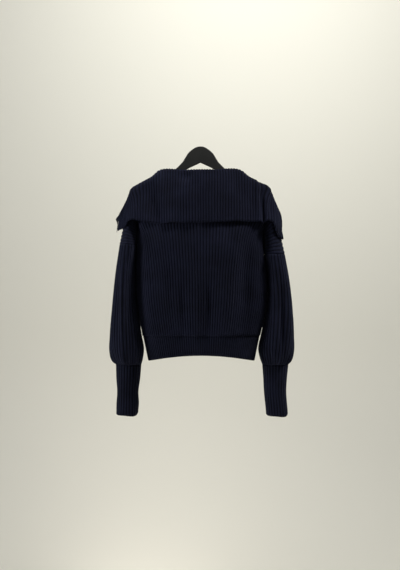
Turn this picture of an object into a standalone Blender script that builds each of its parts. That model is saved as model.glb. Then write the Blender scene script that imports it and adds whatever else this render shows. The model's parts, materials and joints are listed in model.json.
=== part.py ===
# Zip-up rib cardigan with a large folded collar, hung on a flat hanger.
# Metres, +Z up. The garment's back faces -Y, its zip faces +Y, and the wearer's right is +X.
# The origin is the top of the hanger's crown.
#
# Each knitted piece is one wall. Its middle surface is a grid of rib lines (columns) by
# rows, worked out from the section tables below. Ribs are raised on the side that shows.
import math

import bmesh
import bpy
import numpy as np
from mathutils import Vector
from mathutils.bvhtree import BVHTree


def table(names, *rows):
    """A table with named columns, one row for each section or fold."""
    return {name: np.array(values) for name, values in zip(names.split(), zip(*rows))}


# ---- cloth ----
WALL = 0.0024          # knitted wall in the valley between two ribs
RIB = 0.0018           # height of a rib above its valley
SEAM = 0.0003          # space between two pieces at a seam
HALF_SEAM = SEAM / 2
CURVE_SAMPLES = 12     # points between two control points of a line
RIB_STEP = 0.5         # columns lie at each rib's valley and at its top

# ---- panels: back and fronts, with the wings that drop over the upper arms ----
HALF_RIBS = 36         # ribs from the middle of the back to a side seam
MAIN_RIBS = 20         # of these, the ribs that hang from the hanger's arm
TOP_PITCH = 0.0093     # rib spacing along the shoulder
SHOULDER_END = TOP_PITCH * MAIN_RIBS
ARM_START = (0.072, -0.0655)   # x and z where the hanger's straight arm begins
ARM_SLOPE = 0.558
ARM_REST = 0.0054      # the cloth's middle surface above the hanger's arm
NECK_HALF = 0.12       # side neck point, from the centre
NECK_BACK = -0.12      # lowest point of the back neckline
NECK_FRONT = -0.20     # lowest point of the front neckline
FIRST_ROW = 0.004      # depth of the first row, which turns over the hanger
CORNER_DROP = 0.068    # from the hanger's end down to the start of the underarm fold
FRONT_CORNER = -0.235  # the same row at the zip, below the front neckline
RUN_SHARES = (0.33, 0.66, 1.0)
RUN_TURNS = (0.0, 0.2, 0.48, 0.74, 1.0)
DOWN_SHARES = (0.22, 0.45, 0.72, 1.0)
WING_SPREAD = 0.75     # how fast a wing moves out over the arm
WING_DEPTH = 0.068     # half depth of the wing's lower edge
WING_INNER = 0.1815    # inner end of the wing's lower edge
WING_PASSES = 14       # times the wing's columns are smoothed
CREASE = 0.1775        # the underarm fold between wing and body
CREASE_GROWTH = 3.0    # how fast the fold deepens from the hanger's end
CREASE_DEPTH = 0.7
CREASE_SHARES = (0.06, 0.34, 0.67, 1.0)   # rows below the fold, on the side of the body
WING_ROUND = 0.85
HEM_SEAM = -0.537
OVER_HANGER = (0.016, 0.004)   # depth taken at once below the shoulder, and how fast
SPREAD = (0.072, 0.24)         # further depth, and the height over which it grows
SECTION_POWER = 3.0

# height, half width left and right, half depth back and front
BODY = table(
    "z left right back front",
    (-0.615, 0.1460, 0.1510, 0.071, 0.073),
    (-0.590, 0.1500, 0.1550, 0.074, 0.076),
    (-0.552, 0.1580, 0.1615, 0.079, 0.082),
    (-0.509, 0.1675, 0.1745, 0.084, 0.087),
    (-0.452, 0.1755, 0.1835, 0.087, 0.090),
    (-0.375, 0.1788, 0.1852, 0.088, 0.090),
    (-0.300, 0.1755, 0.1740, 0.088, 0.088),
    (-0.193, 0.1835, 0.1835, 0.074, 0.074),
)
# rib spacing at the middle of a panel
PITCH = table(
    "z pitch",
    (-0.615, 0.0058),
    (-0.560, 0.0062),
    (-0.485, 0.0071),
    (-0.400, 0.0075),
    (-0.325, 0.0080),
    (-0.280, 0.00855),
    (-0.193, 0.0093),
)
CORNER_ROW = 1 + len(RUN_SHARES)
WING_COLUMN = 2 * MAIN_RIBS
LAST_COLUMN = 2 * HALF_RIBS
NEAR_GROWTH = 12       # how fast a change past the hanger's end sets in
# rows near the underarm fold: how much of the ribs is left, how far the wall moves in,
# and how much thicker it is
FOLD = table(
    "row ribs inward thicker",
    (CORNER_ROW - 2, 0.6, 0.0, 0.0),
    (CORNER_ROW - 1, 0.0, 0.0012, 0.0010),
    (CORNER_ROW, 0.0, 0.0014, 0.0012),
    (CORNER_ROW + 1, 0.3, 0.0006, 0.0),
)
# outer end and height of each wing's lower edge, where the sleeve is sewn on
ARMHOLE = {
    "left": (0.2266, -0.281),
    "right": (0.2366, -0.308),
}
# soft folds of the panels: x at the top and bottom of the fold, its half width,
# its height (a trough is negative) and the heights where it starts and ends
BACK_FOLDS = table(
    "x_top x_bottom width rise top bottom",
    (-0.150, -0.132, 0.020, 0.0035, -0.24, -0.60),
    (-0.096, -0.085, 0.018, -0.0030, -0.26, -0.56),
    (-0.052, -0.047, 0.013, -0.0060, -0.36, -0.56),
    (-0.014, -0.012, 0.012, 0.0030, -0.37, -0.56),
    (0.023, 0.020, 0.011, -0.0050, -0.39, -0.55),
    (0.072, 0.060, 0.022, 0.0025, -0.28, -0.56),
    (0.134, 0.118, 0.022, -0.0080, -0.22, -0.58),
)
FRONT_FOLDS = table(
    "x_top x_bottom width rise top bottom",
    (-0.140, -0.120, 0.021, -0.0060, -0.27, -0.57),
    (-0.092, -0.082, 0.018, 0.0030, -0.29, -0.57),
    (-0.048, -0.045, 0.014, -0.0045, -0.37, -0.56),
    (0.045, 0.040, 0.013, -0.0050, -0.40, -0.56),
    (0.088, 0.078, 0.020, 0.0030, -0.27, -0.58),
    (0.142, 0.124, 0.018, -0.0060, -0.30, -0.56),
)

# ---- hem band ----
HEM_MIDDLE = -0.591    # lower edge at the middle, and how far the sides hang below it
HEM_DIP = 0.017

# ---- front opening and zip ----
EDGE_GAP = 0.0045      # from the centre to a front's edge where the zip is closed
NECK_OPEN = 0.0445     # the same at the neckline, pulled open by the collar
TAPE = 0.0012          # thickness of the zip tape
TAPE_EASE = 0.0006     # further space beside the tape, where the cloth bends
TAPE_UNDER = 0.0034    # width of tape lying on the cloth
TAPE_OUT = 0.0036      # width of tape past the cloth's edge
TAPE_END = 0.005       # length of tape past the collar's corner
SLIDER = (0.0072, 0.0034, 0.011)       # width, depth and height
BRIDGE = (0.0024, 0.0032, 0.0062)
BRIDGE_WALL = 0.0009
PULL = (0.0066, 0.0012, 0.030)         # width, thickness and length
PULL_WINDOW = (0.0036, 0.0052)
PULL_BAR = 0.0013

# ---- sleeves and cuffs ----
SLEEVE_RIBS = 42
CUFF_RIBS = 28
SLEEVE_POWER = 2.3
UNDERARM = -0.35       # a tube whose top is above this is a sleeve, plain under the arm
UNDERARM_REACH = 0.012
TUCK_START = 0.030     # depth where a sleeve's inner side begins to lean round the body
TUCK_REACH = 0.025
# tuck: how far the front of the inner side leans towards the body
SLEEVE_LEFT = table(
    "z inner outer depth tuck",
    (-0.620, 0.1712, 0.2380, 0.036, 0.0),
    (-0.605, 0.1670, 0.2490, 0.050, 0.0),
    (-0.578, 0.1640, 0.2555, 0.062, 0.0),
    (-0.540, 0.1700, 0.2550, 0.067, 0.007),
    (-0.460, 0.1825, 0.2485, 0.070, 0.012),
    (-0.350, 0.1872, 0.2370, 0.070, 0.012),
    (-0.2813, 0.1815, 0.2266, 0.068, 0.0),
)
SLEEVE_RIGHT = table(
    "z inner outer depth tuck",
    (-0.620, 0.1785, 0.2475, 0.036, 0.0),
    (-0.605, 0.1730, 0.2560, 0.050, 0.0),
    (-0.578, 0.1675, 0.2625, 0.062, 0.0),
    (-0.540, 0.1745, 0.2630, 0.067, 0.007),
    (-0.460, 0.1910, 0.2585, 0.070, 0.012),
    (-0.375, 0.1932, 0.2485, 0.070, 0.012),
    (-0.3083, 0.1815, 0.2366, 0.068, 0.0),
)
CUFF_LEFT = table(
    "z inner outer depth tuck",
    (-0.7660, 0.1800, 0.2370, 0.035, 0.0),
    (-0.7300, 0.1780, 0.2365, 0.034, 0.0),
    (-0.7000, 0.1795, 0.2345, 0.033, 0.0),
    (-0.6600, 0.1745, 0.2370, 0.034, 0.0),
    (-0.6203, 0.1712, 0.2380, 0.036, 0.0),
)
CUFF_RIGHT = table(
    "z inner outer depth tuck",
    (-0.7680, 0.1895, 0.2460, 0.035, 0.0),
    (-0.7300, 0.1865, 0.2435, 0.034, 0.0),
    (-0.7000, 0.1835, 0.2415, 0.033, 0.0),
    (-0.6600, 0.1815, 0.2435, 0.034, 0.0),
    (-0.6203, 0.1785, 0.2475, 0.036, 0.0),
)

# ---- collar ----
COLLAR_HALF_RIBS = 38
COLLAR_PITCH = 0.00764
COLLAR_ROWS = 9
BACK_SHARE = 15        # ribs from the middle of the back to the side neck point
SHOULDER_RIB = 24.5    # the rib that falls just over the hanger's end
COVER = 0.0044         # from the panels' outer side to the collar's middle surface
FRONT_TURN = 0.010     # how far before its edge the last rib turns down
BESIDE_NECK = 0.0060   # the seam runs inside the side neck point, and blends over a length
NECK_BLEND = 0.025
OVER_NECK = 0.0025     # how far above that point
SEAM_LIFT = 0.0012     # space left at the collar's seam before its wall is smoothed
STAND_LEAN = 0.010     # how far the roll stands behind the neckline
ROLL_STEP = 0.011      # distance between the rows next to the roll
SIDE_STEP = 0.018      # the same past the shoulder's end
COVER_RAMP = 0.020     # length over which the collar lifts from the seam onto the panel
COLLAR_PASSES = 4      # times the collar is smoothed and laid on the panels again
SEAM_THINNER = 0.0015  # the collar's wall is thinner at its seam
SEAM_PASSES = 7        # times the facing of the seam's rows is evened out
CORE_END = 0.165       # the line inside the shoulders that the collar is laid out from
CORE_DROP = 0.012
# height of the roll over the shoulders
ROLL = table(
    "x left right",
    (0.000, -0.0712, -0.0712),
    (0.040, -0.0712, -0.0702),
    (0.080, -0.0660, -0.0650),
    (0.098, -0.0645, -0.0640),
    (0.112, -0.0665, -0.0670),
    (0.133, -0.0835, -0.0840),
    (0.151, -0.0970, -0.0978),
    (0.172, -0.1084, -0.1084),
    (0.187, -0.1180, -0.1198),
)
# how far the collar stands out at each side, by height
FLANK = table(
    "z left right",
    (-0.236, 0.2365, 0.2350),
    (-0.210, 0.2330, 0.2285),
    (-0.187, 0.2225, 0.2185),
    (-0.164, 0.2120, 0.2088),
    (-0.141, 0.2015, 0.1995),
    (-0.118, 0.1870, 0.1870),
)
# where a rib past the hanger's end crosses the shoulder line
CROSSING = table(
    "share z",
    (0.00, -0.1180),
    (0.25, -0.1250),
    (0.50, -0.1460),
    (0.75, -0.1750),
    (1.00, -0.2060),
)
# free edge behind the back, by distance from the centre
EDGE_BACK = table(
    "x z",
    (-0.187, -0.2130),
    (-0.110, -0.2215),
    (0.000, -0.2210),
    (0.110, -0.2178),
    (0.187, -0.2175),
)
# free edge round each shoulder, by rib
EDGE_LEFT = table(
    "rib x y z",
    (24.5, 0.1870, -0.060, -0.2130),
    (27.5, 0.2035, -0.056, -0.2150),
    (29.5, 0.2095, -0.048, -0.2340),
    (33.5, 0.2235, -0.030, -0.2375),
    (36.0, 0.2320, -0.014, -0.2385),
    (38.0, 0.2340, 0.001, -0.2400),
)
EDGE_RIGHT = table(
    "rib x y z",
    (24.5, 0.1870, -0.060, -0.2175),
    (27.0, 0.2035, -0.060, -0.2175),
    (28.7, 0.2075, -0.054, -0.2450),
    (31.0, 0.2185, -0.044, -0.2620),
    (33.0, 0.2265, -0.028, -0.2670),
    (35.5, 0.2345, -0.004, -0.2600),
    (38.0, 0.2260, 0.026, -0.2520),
)
# folds of the collar: rib at the roll and at the edge, half width in ribs, rise, and
# the shares of the rib line between which the fold runs
COLLAR_FINE = 56       # columns at each end whose inner side is as fine as the ribs
COLLAR_FOLDS = table(
    "rib_top rib_edge width rise start end",
    (-21.0, -16.0, 1.8, -0.0048, 0.42, 0.98),
    (-18.0, -12.5, 1.8, 0.0040, 0.40, 0.98),
    (-9.0, -1.0, 2.4, -0.0045, 0.30, 0.66),
    (21.6, 22.9, 1.5, -0.0045, 0.36, 0.99),
    (25.0, 26.2, 1.5, 0.0025, 0.40, 0.99),
)

# ---- hanger ----
PLATE = 0.009
PLATE_BEVEL = 0.002
# right half of the plate's outline, from the crown round the arm's end to the notch
PLATE_EDGE = table(
    "x z",
    (0.0080, -0.0008),
    (0.0160, -0.0040),
    (0.0255, -0.0105),
    (0.0320, -0.0160),
    (0.0368, -0.0214),
    (0.0436, -0.0328),
    (0.0505, -0.0442),
    (0.0560, -0.0500),
    (0.0630, -0.0573),
    (0.0720, -0.0655),
    (0.1797, -0.1256),
    (0.1830, -0.1290),
    (0.1838, -0.1345),
    (0.1815, -0.1400),
    (0.1760, -0.1425),
    (0.1200, -0.1130),
    (0.0700, -0.0845),
    (0.0318, -0.0613),
)
NOTCH_TOP = -0.0465

NAVY = (0.012, 0.014, 0.030)
NAVY_HEM = (0.011, 0.013, 0.028)
TAPE_NAVY = (0.008, 0.009, 0.016)
ZIP_METAL = (0.36, 0.36, 0.38)
HANGER_BLACK = (0.030, 0.030, 0.027)
SIDES = {"left": -1, "right": 1}


def read(data, key, name, value):
    """Column `name` at a place along column `key`, on a smooth curve without overshoot."""
    order = np.argsort(data[key])
    x, y = data[key][order], data[name][order]
    steps = np.diff(x)
    slopes = np.diff(y) / steps
    tangents = np.empty_like(y)
    tangents[0], tangents[-1] = slopes[0], slopes[-1]
    product = slopes[:-1] * slopes[1:]
    total = slopes[:-1] + slopes[1:]
    safe = np.where(np.abs(total) < 1e-12, 1.0, total)
    tangents[1:-1] = np.where(product > 0, 2 * product / safe, 0.0)
    k = np.clip(np.searchsorted(x, value, side="right") - 1, 0, len(x) - 2)
    t = np.clip((value - x[k]) / steps[k], 0.0, 1.0)
    rise = (1 + 2 * t) * (1 - t) ** 2 * y[k] + t * t * (3 - 2 * t) * y[k + 1]
    return rise + (t * (1 - t) ** 2 * tangents[k] - t * t * (1 - t) * tangents[k + 1]) * steps[k]


def smooth(t):
    t = np.clip(t, 0.0, 1.0)
    return t * t * (3 - 2 * t)


def mix(a, b, t):
    return a + (b - a) * t


def lengths(points):
    """Distance along a line of points, from its first."""
    return np.concatenate([[0.0], np.cumsum(np.linalg.norm(np.diff(points, axis=0), axis=1))])


def walk(points, places):
    """Points at the given distances along a line."""
    along = lengths(points)
    return np.stack([np.interp(places, along, points[:, axis]) for axis in range(3)], axis=1)


def curve_through(points):
    """A smooth line through a few points."""
    points = np.asarray(points, dtype=float)
    padded = np.vstack([2 * points[0] - points[1], points, 2 * points[-1] - points[-2]])
    line = []
    for a, b, c, d in zip(padded[:-3], padded[1:-2], padded[2:-1], padded[3:]):
        for t in np.linspace(0, 1, CURVE_SAMPLES, endpoint=False):
            line.append(0.5 * (2 * b + (c - a) * t + (2 * a - 5 * b + 4 * c - d) * t * t
                               + (3 * b - a - 3 * c + d) * t ** 3))
    line.append(points[-1])
    return np.array(line)


# ---------------------------------------------------------------- body surface

def shoulder(x):
    """Height of the cloth over the hanger's arm."""
    return ARM_START[1] - ARM_SLOPE * (x - ARM_START[0]) + ARM_REST


def spread(depth):
    """How far front and back stand from the hanger's plane, at a depth below the shoulder."""
    depth = np.maximum(depth, 0.0)
    at_once, fast = OVER_HANGER
    further, height = SPREAD
    return at_once * (1 - np.exp(-depth / fast)) + further * smooth(depth / height)


def back_neckline(x):
    share = min(abs(x) / NECK_HALF, 1.0)
    return mix(NECK_BACK, shoulder(NECK_HALF), share ** 2.5)


def front_neckline(x):
    share = max((x - NECK_OPEN) / (NECK_HALF - NECK_OPEN), 0.0)
    return mix(NECK_FRONT, shoulder(NECK_HALF), share ** 2)


def front_edge(z):
    """Distance of a front's edge from the centre: closed below the slider, open above."""
    low = DOWN_SHARES[0]
    slider = mix(FRONT_CORNER, HEM_SEAM, low)
    return EDGE_GAP + (NECK_OPEN - EDGE_GAP) * smooth((z - slider) / (NECK_FRONT - slider))


def section_point(side, face, rib, z, start=0.0):
    """A rib's place on the body's section at height z."""
    half_width = read(BODY, "z", side, z)
    half_depth = read(BODY, "z", face, z)
    turn = np.linspace(0.0, math.pi / 2, 121)
    power = 2 / SECTION_POWER
    line = np.stack([half_width * np.sin(turn) ** power, half_depth * np.cos(turn) ** power,
                     np.zeros_like(turn)], axis=1)
    full = lengths(line)[-1]
    pitch = read(PITCH, "z", "pitch", z)
    share = rib / HALF_RIBS
    place = pitch * rib + (full - HALF_RIBS * pitch) * share ** 3 + start * (1 - share)
    x, y, _ = walk(line, [place])[0]
    return x, y


def main_line(side, face, rib):
    """Rows of a rib that hangs from the hanger's arm or from the neckline."""
    share = rib / MAIN_RIBS
    if face == "back":
        x_top = TOP_PITCH * rib
        top = back_neckline(x_top) if x_top < NECK_HALF else shoulder(x_top)
        corner = shoulder(SHOULDER_END) - CORNER_DROP
    else:
        x_top = mix(NECK_OPEN, SHOULDER_END, share)
        top = front_neckline(x_top) if x_top < NECK_HALF else shoulder(x_top)
        corner = mix(FRONT_CORNER, shoulder(SHOULDER_END) - CORNER_DROP, smooth(share * 1.6))
    heights = [top, top - FIRST_ROW]
    heights += [mix(top - FIRST_ROW, corner, part) for part in RUN_SHARES]
    rows = []
    for z in heights:
        x = x_top if face == "back" else mix(front_edge(z), SHOULDER_END, share)
        rows.append((x, spread(shoulder(x) - z), z))
    start = EDGE_GAP if face == "front" else 0.0
    for part in DOWN_SHARES:
        z = mix(corner, HEM_SEAM, part)
        x, y = section_point(side, face, rib, z, start)
        rows.append((x, y, z))
    return rows


def wing_line(side, face, rib):
    """Rows of a rib beyond the hanger's end: round the upper arm, in at the fold, and down."""
    share = (rib - MAIN_RIBS) / (HALF_RIBS - MAIN_RIBS)
    outward = share ** WING_SPREAD
    end_x, end_z = ARMHOLE[side]
    middle = (end_x + WING_INNER) / 2
    reach = (end_x - WING_INNER) / 2
    top = shoulder(SHOULDER_END)
    depths = [0.0, FIRST_ROW] + [mix(FIRST_ROW, CORNER_DROP, part) for part in RUN_SHARES]
    rows = []
    for depth, turn in zip(depths, RUN_TURNS):
        cosine, sine = math.cos(math.pi * turn), max(math.sin(math.pi * turn), 0.0)
        low_x = middle + reach * math.copysign(abs(cosine) ** WING_ROUND, cosine)
        low_y = WING_DEPTH * sine ** WING_ROUND
        rows.append((mix(SHOULDER_END, low_x, outward),
                     mix(spread(depth), low_y, share),
                     mix(top - depth, end_z, share)))
    corner = rows[-1][2]
    near = smooth(share * 3)
    rows[-1] = (mix(SHOULDER_END, CREASE, smooth(share * CREASE_GROWTH)),
                spread(CORNER_DROP) * (1 - share ** CREASE_DEPTH), corner)
    for even, close in zip(DOWN_SHARES, CREASE_SHARES):
        z = mix(corner, HEM_SEAM, mix(even, close, near))
        x, y = section_point(side, face, rib, z)
        rows.append((x, y, z))
    return rows


def panel_half(side, face):
    """Grid of one half panel, from the centre to the side seam: rows by columns."""
    lines = []
    for rib in np.arange(0, HALF_RIBS + RIB_STEP / 2, RIB_STEP):
        make = main_line if rib <= MAIN_RIBS else wing_line
        lines.append(make(side, face, rib))
    grid = np.array(lines).transpose(1, 0, 2)
    grid[:, :, 0] *= SIDES[side]
    grid[:, :, 1] *= -1 if face == "back" else 1
    return grid


def fold_rise(grid, folds):
    """Rise of the soft folds at each point of a panel."""
    x, z = grid[:, :, 0], grid[:, :, 2]
    total = np.zeros_like(x)
    for k in range(len(folds["rise"])):
        top, bottom = folds["top"][k], folds["bottom"][k]
        down = np.clip((top - z) / (top - bottom), 0.0, 1.0)
        centre = mix(folds["x_top"][k], folds["x_bottom"][k], down)
        across = np.exp(-((x - centre) / folds["width"][k]) ** 2)
        total += folds["rise"][k] * across * np.sin(math.pi * down) ** 1.2
    return total


# ---------------------------------------------------------------- walls

def unit(vectors):
    return vectors / np.maximum(np.linalg.norm(vectors, axis=-1, keepdims=True), 1e-9)


def tangents(grid, axis, closed=False):
    """Unit directions along one axis of a grid: the mean of the two steps at each point."""
    steps = unit(np.diff(grid, axis=axis))
    if closed:
        around = unit(np.roll(grid, -1, axis=axis) - grid)
        return around + np.roll(around, 1, axis=axis)
    first, last = np.take(steps, [0], axis=axis), np.take(steps, [-1], axis=axis)
    padded = np.concatenate([first, steps, last], axis=axis)
    count = grid.shape[axis]
    return np.take(padded, range(count), axis=axis) + np.take(padded, range(1, count + 1), axis=axis)


def normals(grid, closed):
    """Unit normals of a grid of points."""
    return unit(np.cross(tangents(grid, 1, closed), tangents(grid, 0)))


def wall(name, base, facing, colour, plain, closed=False, ribbed=1.0, thicker=0.0, limit=None):
    """One knitted wall: a ribbed outer grid, a plain inner grid, and its edges."""
    rows, columns = base.shape[:2]
    relief = np.where(np.arange(columns) % 2 == 1, RIB, 0.0)[None, :] * ribbed
    outer = base + facing * (WALL / 2 + relief)[..., None]
    depth = WALL / 2 + np.broadcast_to(thicker, (rows, columns))
    inner = (base - facing * depth[..., None])[:, plain]
    if limit:
        outer, inner = limit(outer), limit(inner)
    mesh = bmesh.new()
    out = [[mesh.verts.new(p) for p in row] for row in outer]
    into = [[mesh.verts.new(p) for p in row] for row in inner]
    plain = list(plain)
    spans = list(zip(range(len(plain)), plain, plain[1:] + ([columns] if closed else [])))
    for r in range(rows - 1):
        for c in range(columns if closed else columns - 1):
            d = (c + 1) % columns
            corners = (out[r][c], out[r + 1][c], out[r + 1][d], out[r][d])
            add_quad(mesh, corners, c % 2 == 0)
        for k, _, _ in spans:
            m = (k + 1) % len(plain)
            add_quad(mesh, (into[r][m], into[r + 1][m], into[r + 1][k], into[r][k]), True)
    for r, turn in ((0, 1), (rows - 1, -1)):
        for k, first, last in spans:
            m = (k + 1) % len(plain)
            middle = (first + last) // 2
            for c in range(first, last):
                d = (c + 1) % columns
                hub = into[r][k] if c < middle else into[r][m]
                mesh.faces.new((out[r][c], out[r][d], hub)[::turn])
            mesh.faces.new((out[r][middle % columns], into[r][m], into[r][k])[::turn])
    if not closed:
        for r in range(rows - 1):
            add_quad(mesh, (into[r][0], into[r + 1][0], out[r + 1][0], out[r][0]), True)
            add_quad(mesh, (out[r][-1], out[r + 1][-1], into[r + 1][-1], into[r][-1]), True)
    return finish(name, mesh, colour)


def add_quad(mesh, corners, lean):
    a, b, c, d = corners
    if lean:
        mesh.faces.new((a, b, c))
        mesh.faces.new((a, c, d))
    else:
        mesh.faces.new((a, b, d))
        mesh.faces.new((b, c, d))


def material(name, colour, roughness, metallic=0.0):
    made = bpy.data.materials.get(name) or bpy.data.materials.new(name)
    made.use_nodes = True
    shader = made.node_tree.nodes["Principled BSDF"]
    shader.inputs["Base Color"].default_value = (*colour, 1.0)
    shader.inputs["Roughness"].default_value = roughness
    shader.inputs["Metallic"].default_value = metallic
    return made


def finish(name, mesh, colour, roughness=0.95, metallic=0.0):
    """Close a mesh into a named object with its own material, faces pointing out."""
    if mesh.calc_volume(signed=True) < 0:
        bmesh.ops.reverse_faces(mesh, faces=mesh.faces)
    data = bpy.data.meshes.new(name)
    mesh.to_mesh(data)
    mesh.free()
    piece = bpy.data.objects.new(name, data)
    data.materials.append(material(name, colour, roughness, metallic))
    bpy.context.scene.collection.objects.link(piece)
    return piece


# ---------------------------------------------------------------- panels and hem

def plain_columns():
    """Inner columns of a half panel: every second rib, and every rib over the wing."""
    return list(range(0, WING_COLUMN - 4, 4)) + list(range(WING_COLUMN - 4, LAST_COLUMN + 1, 2))


def panel_shape(side, face):
    """Middle points, facing, rib strength of one half panel, with its soft folds."""
    grid = panel_half(side, face)
    soft = slice(1, CORNER_ROW + 2)
    for _ in range(WING_PASSES):
        beside = (grid[soft, WING_COLUMN - 7:-2] + grid[soft, WING_COLUMN - 5:]) / 2
        grid[soft, WING_COLUMN - 6:-1] = mix(grid[soft, WING_COLUMN - 6:-1], beside, 0.5)
    outward = -1.0 if face == "back" else 1.0
    facing = normals(grid, False)
    facing *= np.sign(facing[2, 0, 1]) * outward
    share = np.clip((np.arange(LAST_COLUMN + 1) - WING_COLUMN) / (LAST_COLUMN - WING_COLUMN), 0, 1)
    near = smooth(share * CREASE_GROWTH)
    open_way = np.array((0.0, outward, 0.0))
    crease = mix(facing[CORNER_ROW], open_way, near[:, None])
    facing[CORNER_ROW] = crease / np.linalg.norm(crease, axis=1, keepdims=True)
    ribbed, thicker = np.ones(grid.shape[:2]), np.zeros(grid.shape[:2])
    near = smooth(share * NEAR_GROWTH)
    folds = BACK_FOLDS if face == "back" else FRONT_FOLDS
    base = grid + facing * fold_rise(grid, folds)[..., None]
    for row, ribs, inward, extra in zip(*FOLD.values()):
        row = int(row)
        ribbed[row] = mix(1.0, ribs, near)
        thicker[row] = extra * near
        base[row] -= facing[row] * (inward * near)[:, None]
    return base, facing, ribbed, thicker


def keep_apart(outward, ends):
    """Holds a panel's points to its own side of the side seams and above the sleeves."""
    def limit(points):
        points[..., 1] = outward * np.maximum(points[..., 1] * outward, HALF_SEAM)
        for column, side in ends:
            arm = points[:CORNER_ROW + 1, column, 2]
            points[:CORNER_ROW + 1, column, 2] = np.maximum(arm, ARMHOLE[side][1])
        return points
    return limit


def back_panel():
    halves = [panel_shape(side, "back") for side in SIDES]
    base, facing, ribbed, thicker = [np.concatenate([left[:, :0:-1], right], axis=1)
                                     for left, right in zip(*halves)]
    half = plain_columns()
    plain = [LAST_COLUMN - c for c in reversed(half)] + [LAST_COLUMN + c for c in half[1:]]
    wall("back", base, facing, NAVY, plain, ribbed=ribbed, thicker=thicker,
         limit=keep_apart(-1.0, ((0, "left"), (-1, "right"))))


def front_panel(side):
    base, facing, ribbed, thicker = panel_shape(side, "front")
    plain = plain_columns()
    plain.insert(1, 2)
    wall(f"front_{side}", base, facing, NAVY, plain, ribbed=ribbed, thicker=thicker,
         limit=keep_apart(1.0, ((-1, side),)))


def hem_line(side, face, rib):
    """Two rows of the hem band at one rib."""
    rows = []
    start = EDGE_GAP if face == "front" else 0.0
    half_width = read(BODY, "z", side, HEM_MIDDLE)
    x, y = section_point(side, face, rib, HEM_SEAM - SEAM, start)
    rows.append((x, y, HEM_SEAM - SEAM))
    x, y = section_point(side, face, rib, HEM_MIDDLE, start)
    low = HEM_MIDDLE - HEM_DIP * (x / half_width) ** 2
    x, y = section_point(side, face, rib, low, start)
    rows.append((x, y, low))
    return [(px * SIDES[side], py * (-1 if face == "back" else 1), pz) for px, py, pz in rows]


def hem_band():
    """One band from the zip's left side round the back to its right side."""
    up = list(np.arange(0, HALF_RIBS + RIB_STEP / 2, RIB_STEP))
    lines = [hem_line("left", "front", rib) for rib in up]
    lines += [hem_line("left", "back", rib) for rib in up[-2::-1]]
    lines += [hem_line("right", "back", rib) for rib in up[1:]]
    lines += [hem_line("right", "front", rib) for rib in up[-2::-1]]
    grid = np.array(lines).transpose(1, 0, 2)
    rise = fold_rise(grid, BACK_FOLDS) * (grid[:, :, 1] < 0)
    rise += fold_rise(grid, FRONT_FOLDS) * (grid[:, :, 1] > 0)
    facing = -normals(grid, False)
    wall("hem_band", grid + facing * rise[..., None], facing, NAVY_HEM,
         list(range(0, grid.shape[1], 4)))


# ---------------------------------------------------------------- sleeves and cuffs

def tube(name, side, data, ribs, colour):
    """A sleeve or cuff: closed rings of ribs between an inner and an outer line."""
    turn = np.linspace(0, 2 * math.pi, 361)
    power = 2 / SLEEVE_POWER
    places = np.arange(2 * ribs) / (2 * ribs)
    rows = []
    for k in np.argsort(-data["z"]):
        middle = (data["inner"][k] + data["outer"][k]) / 2
        reach = (data["outer"][k] - data["inner"][k]) / 2
        cosine, sine = np.cos(turn), np.sin(turn)
        y = data["depth"][k] * np.sign(sine) * np.abs(sine) ** power
        tuck = data["tuck"][k] * smooth(-2 * cosine) * smooth((y - TUCK_START) / TUCK_REACH)
        ring = np.stack([middle + reach * np.sign(cosine) * np.abs(cosine) ** power - tuck,
                         y, np.full_like(turn, data["z"][k])], axis=1)
        rows.append(walk(ring, places * lengths(ring)[-1]))
    grid = np.array(rows)
    grid[:, :, 0] *= SIDES[side]
    plain = list(range(0, 2 * ribs, 4))
    top, bottom = data["z"].max(), data["z"].min()
    facing = normals(grid, True) * (-1 if side == "right" else 1)
    ribbed = np.ones(grid.shape[:2])
    if top > UNDERARM:
        beyond = data["inner"][-1] + UNDERARM_REACH - np.abs(grid[0, :, 0])
        inner_side = smooth(beyond / UNDERARM_REACH)
        ribbed[0] = 1 - smooth(inner_side * 2)

    def keep_level(points):
        points[0, :, 2] = top
        points[-1, :, 2] = bottom
        return points

    wall(name, grid, facing, colour, plain, closed=True, ribbed=ribbed, limit=keep_level)


# ---------------------------------------------------------------- collar

def neck_edge(side, face):
    """The neckline's edge on one half panel, from the panel's middle, and its facing."""
    grid, facing = panel_shape(side, face)[:2]
    kept = np.abs(grid[0, :, 0]) <= NECK_HALF
    line, out = grid[0, kept], facing[0, kept]
    line[:, 0] *= SIDES[side]
    out[:, 0] *= SIDES[side]
    return line, out


def neck_seam(side):
    """Where one half of the collar is sewn on: above the back neckline, over the front one."""
    back, back_out = neck_edge(side, "back")
    front, front_out = neck_edge(side, "front")
    beside = np.array((-BESIDE_NECK, 0.0, SEAM_LIFT))
    lift = SEAM_LIFT + (WALL / 2 + RIB) * np.maximum(back_out[:, 2:], 0.0)
    near = smooth((back[:, :1] - NECK_HALF) / NECK_BLEND + 1)
    behind = back + mix(np.array((0.0, 0.0, 1.0)) * lift, beside, near)
    over = np.array([(NECK_HALF, 0.0, shoulder(NECK_HALF) + OVER_NECK)]) + beside
    near = smooth(1 + (front[:, 2:] - shoulder(NECK_HALF)) / NECK_BLEND)
    before = (front + mix(front_out * (WALL + RIB + SEAM_LIFT), beside, near))[::-1]
    return curve_through(np.vstack([behind[:-3:3], behind[-2:-1], over, before[2::3], before[-1:]]))


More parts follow.
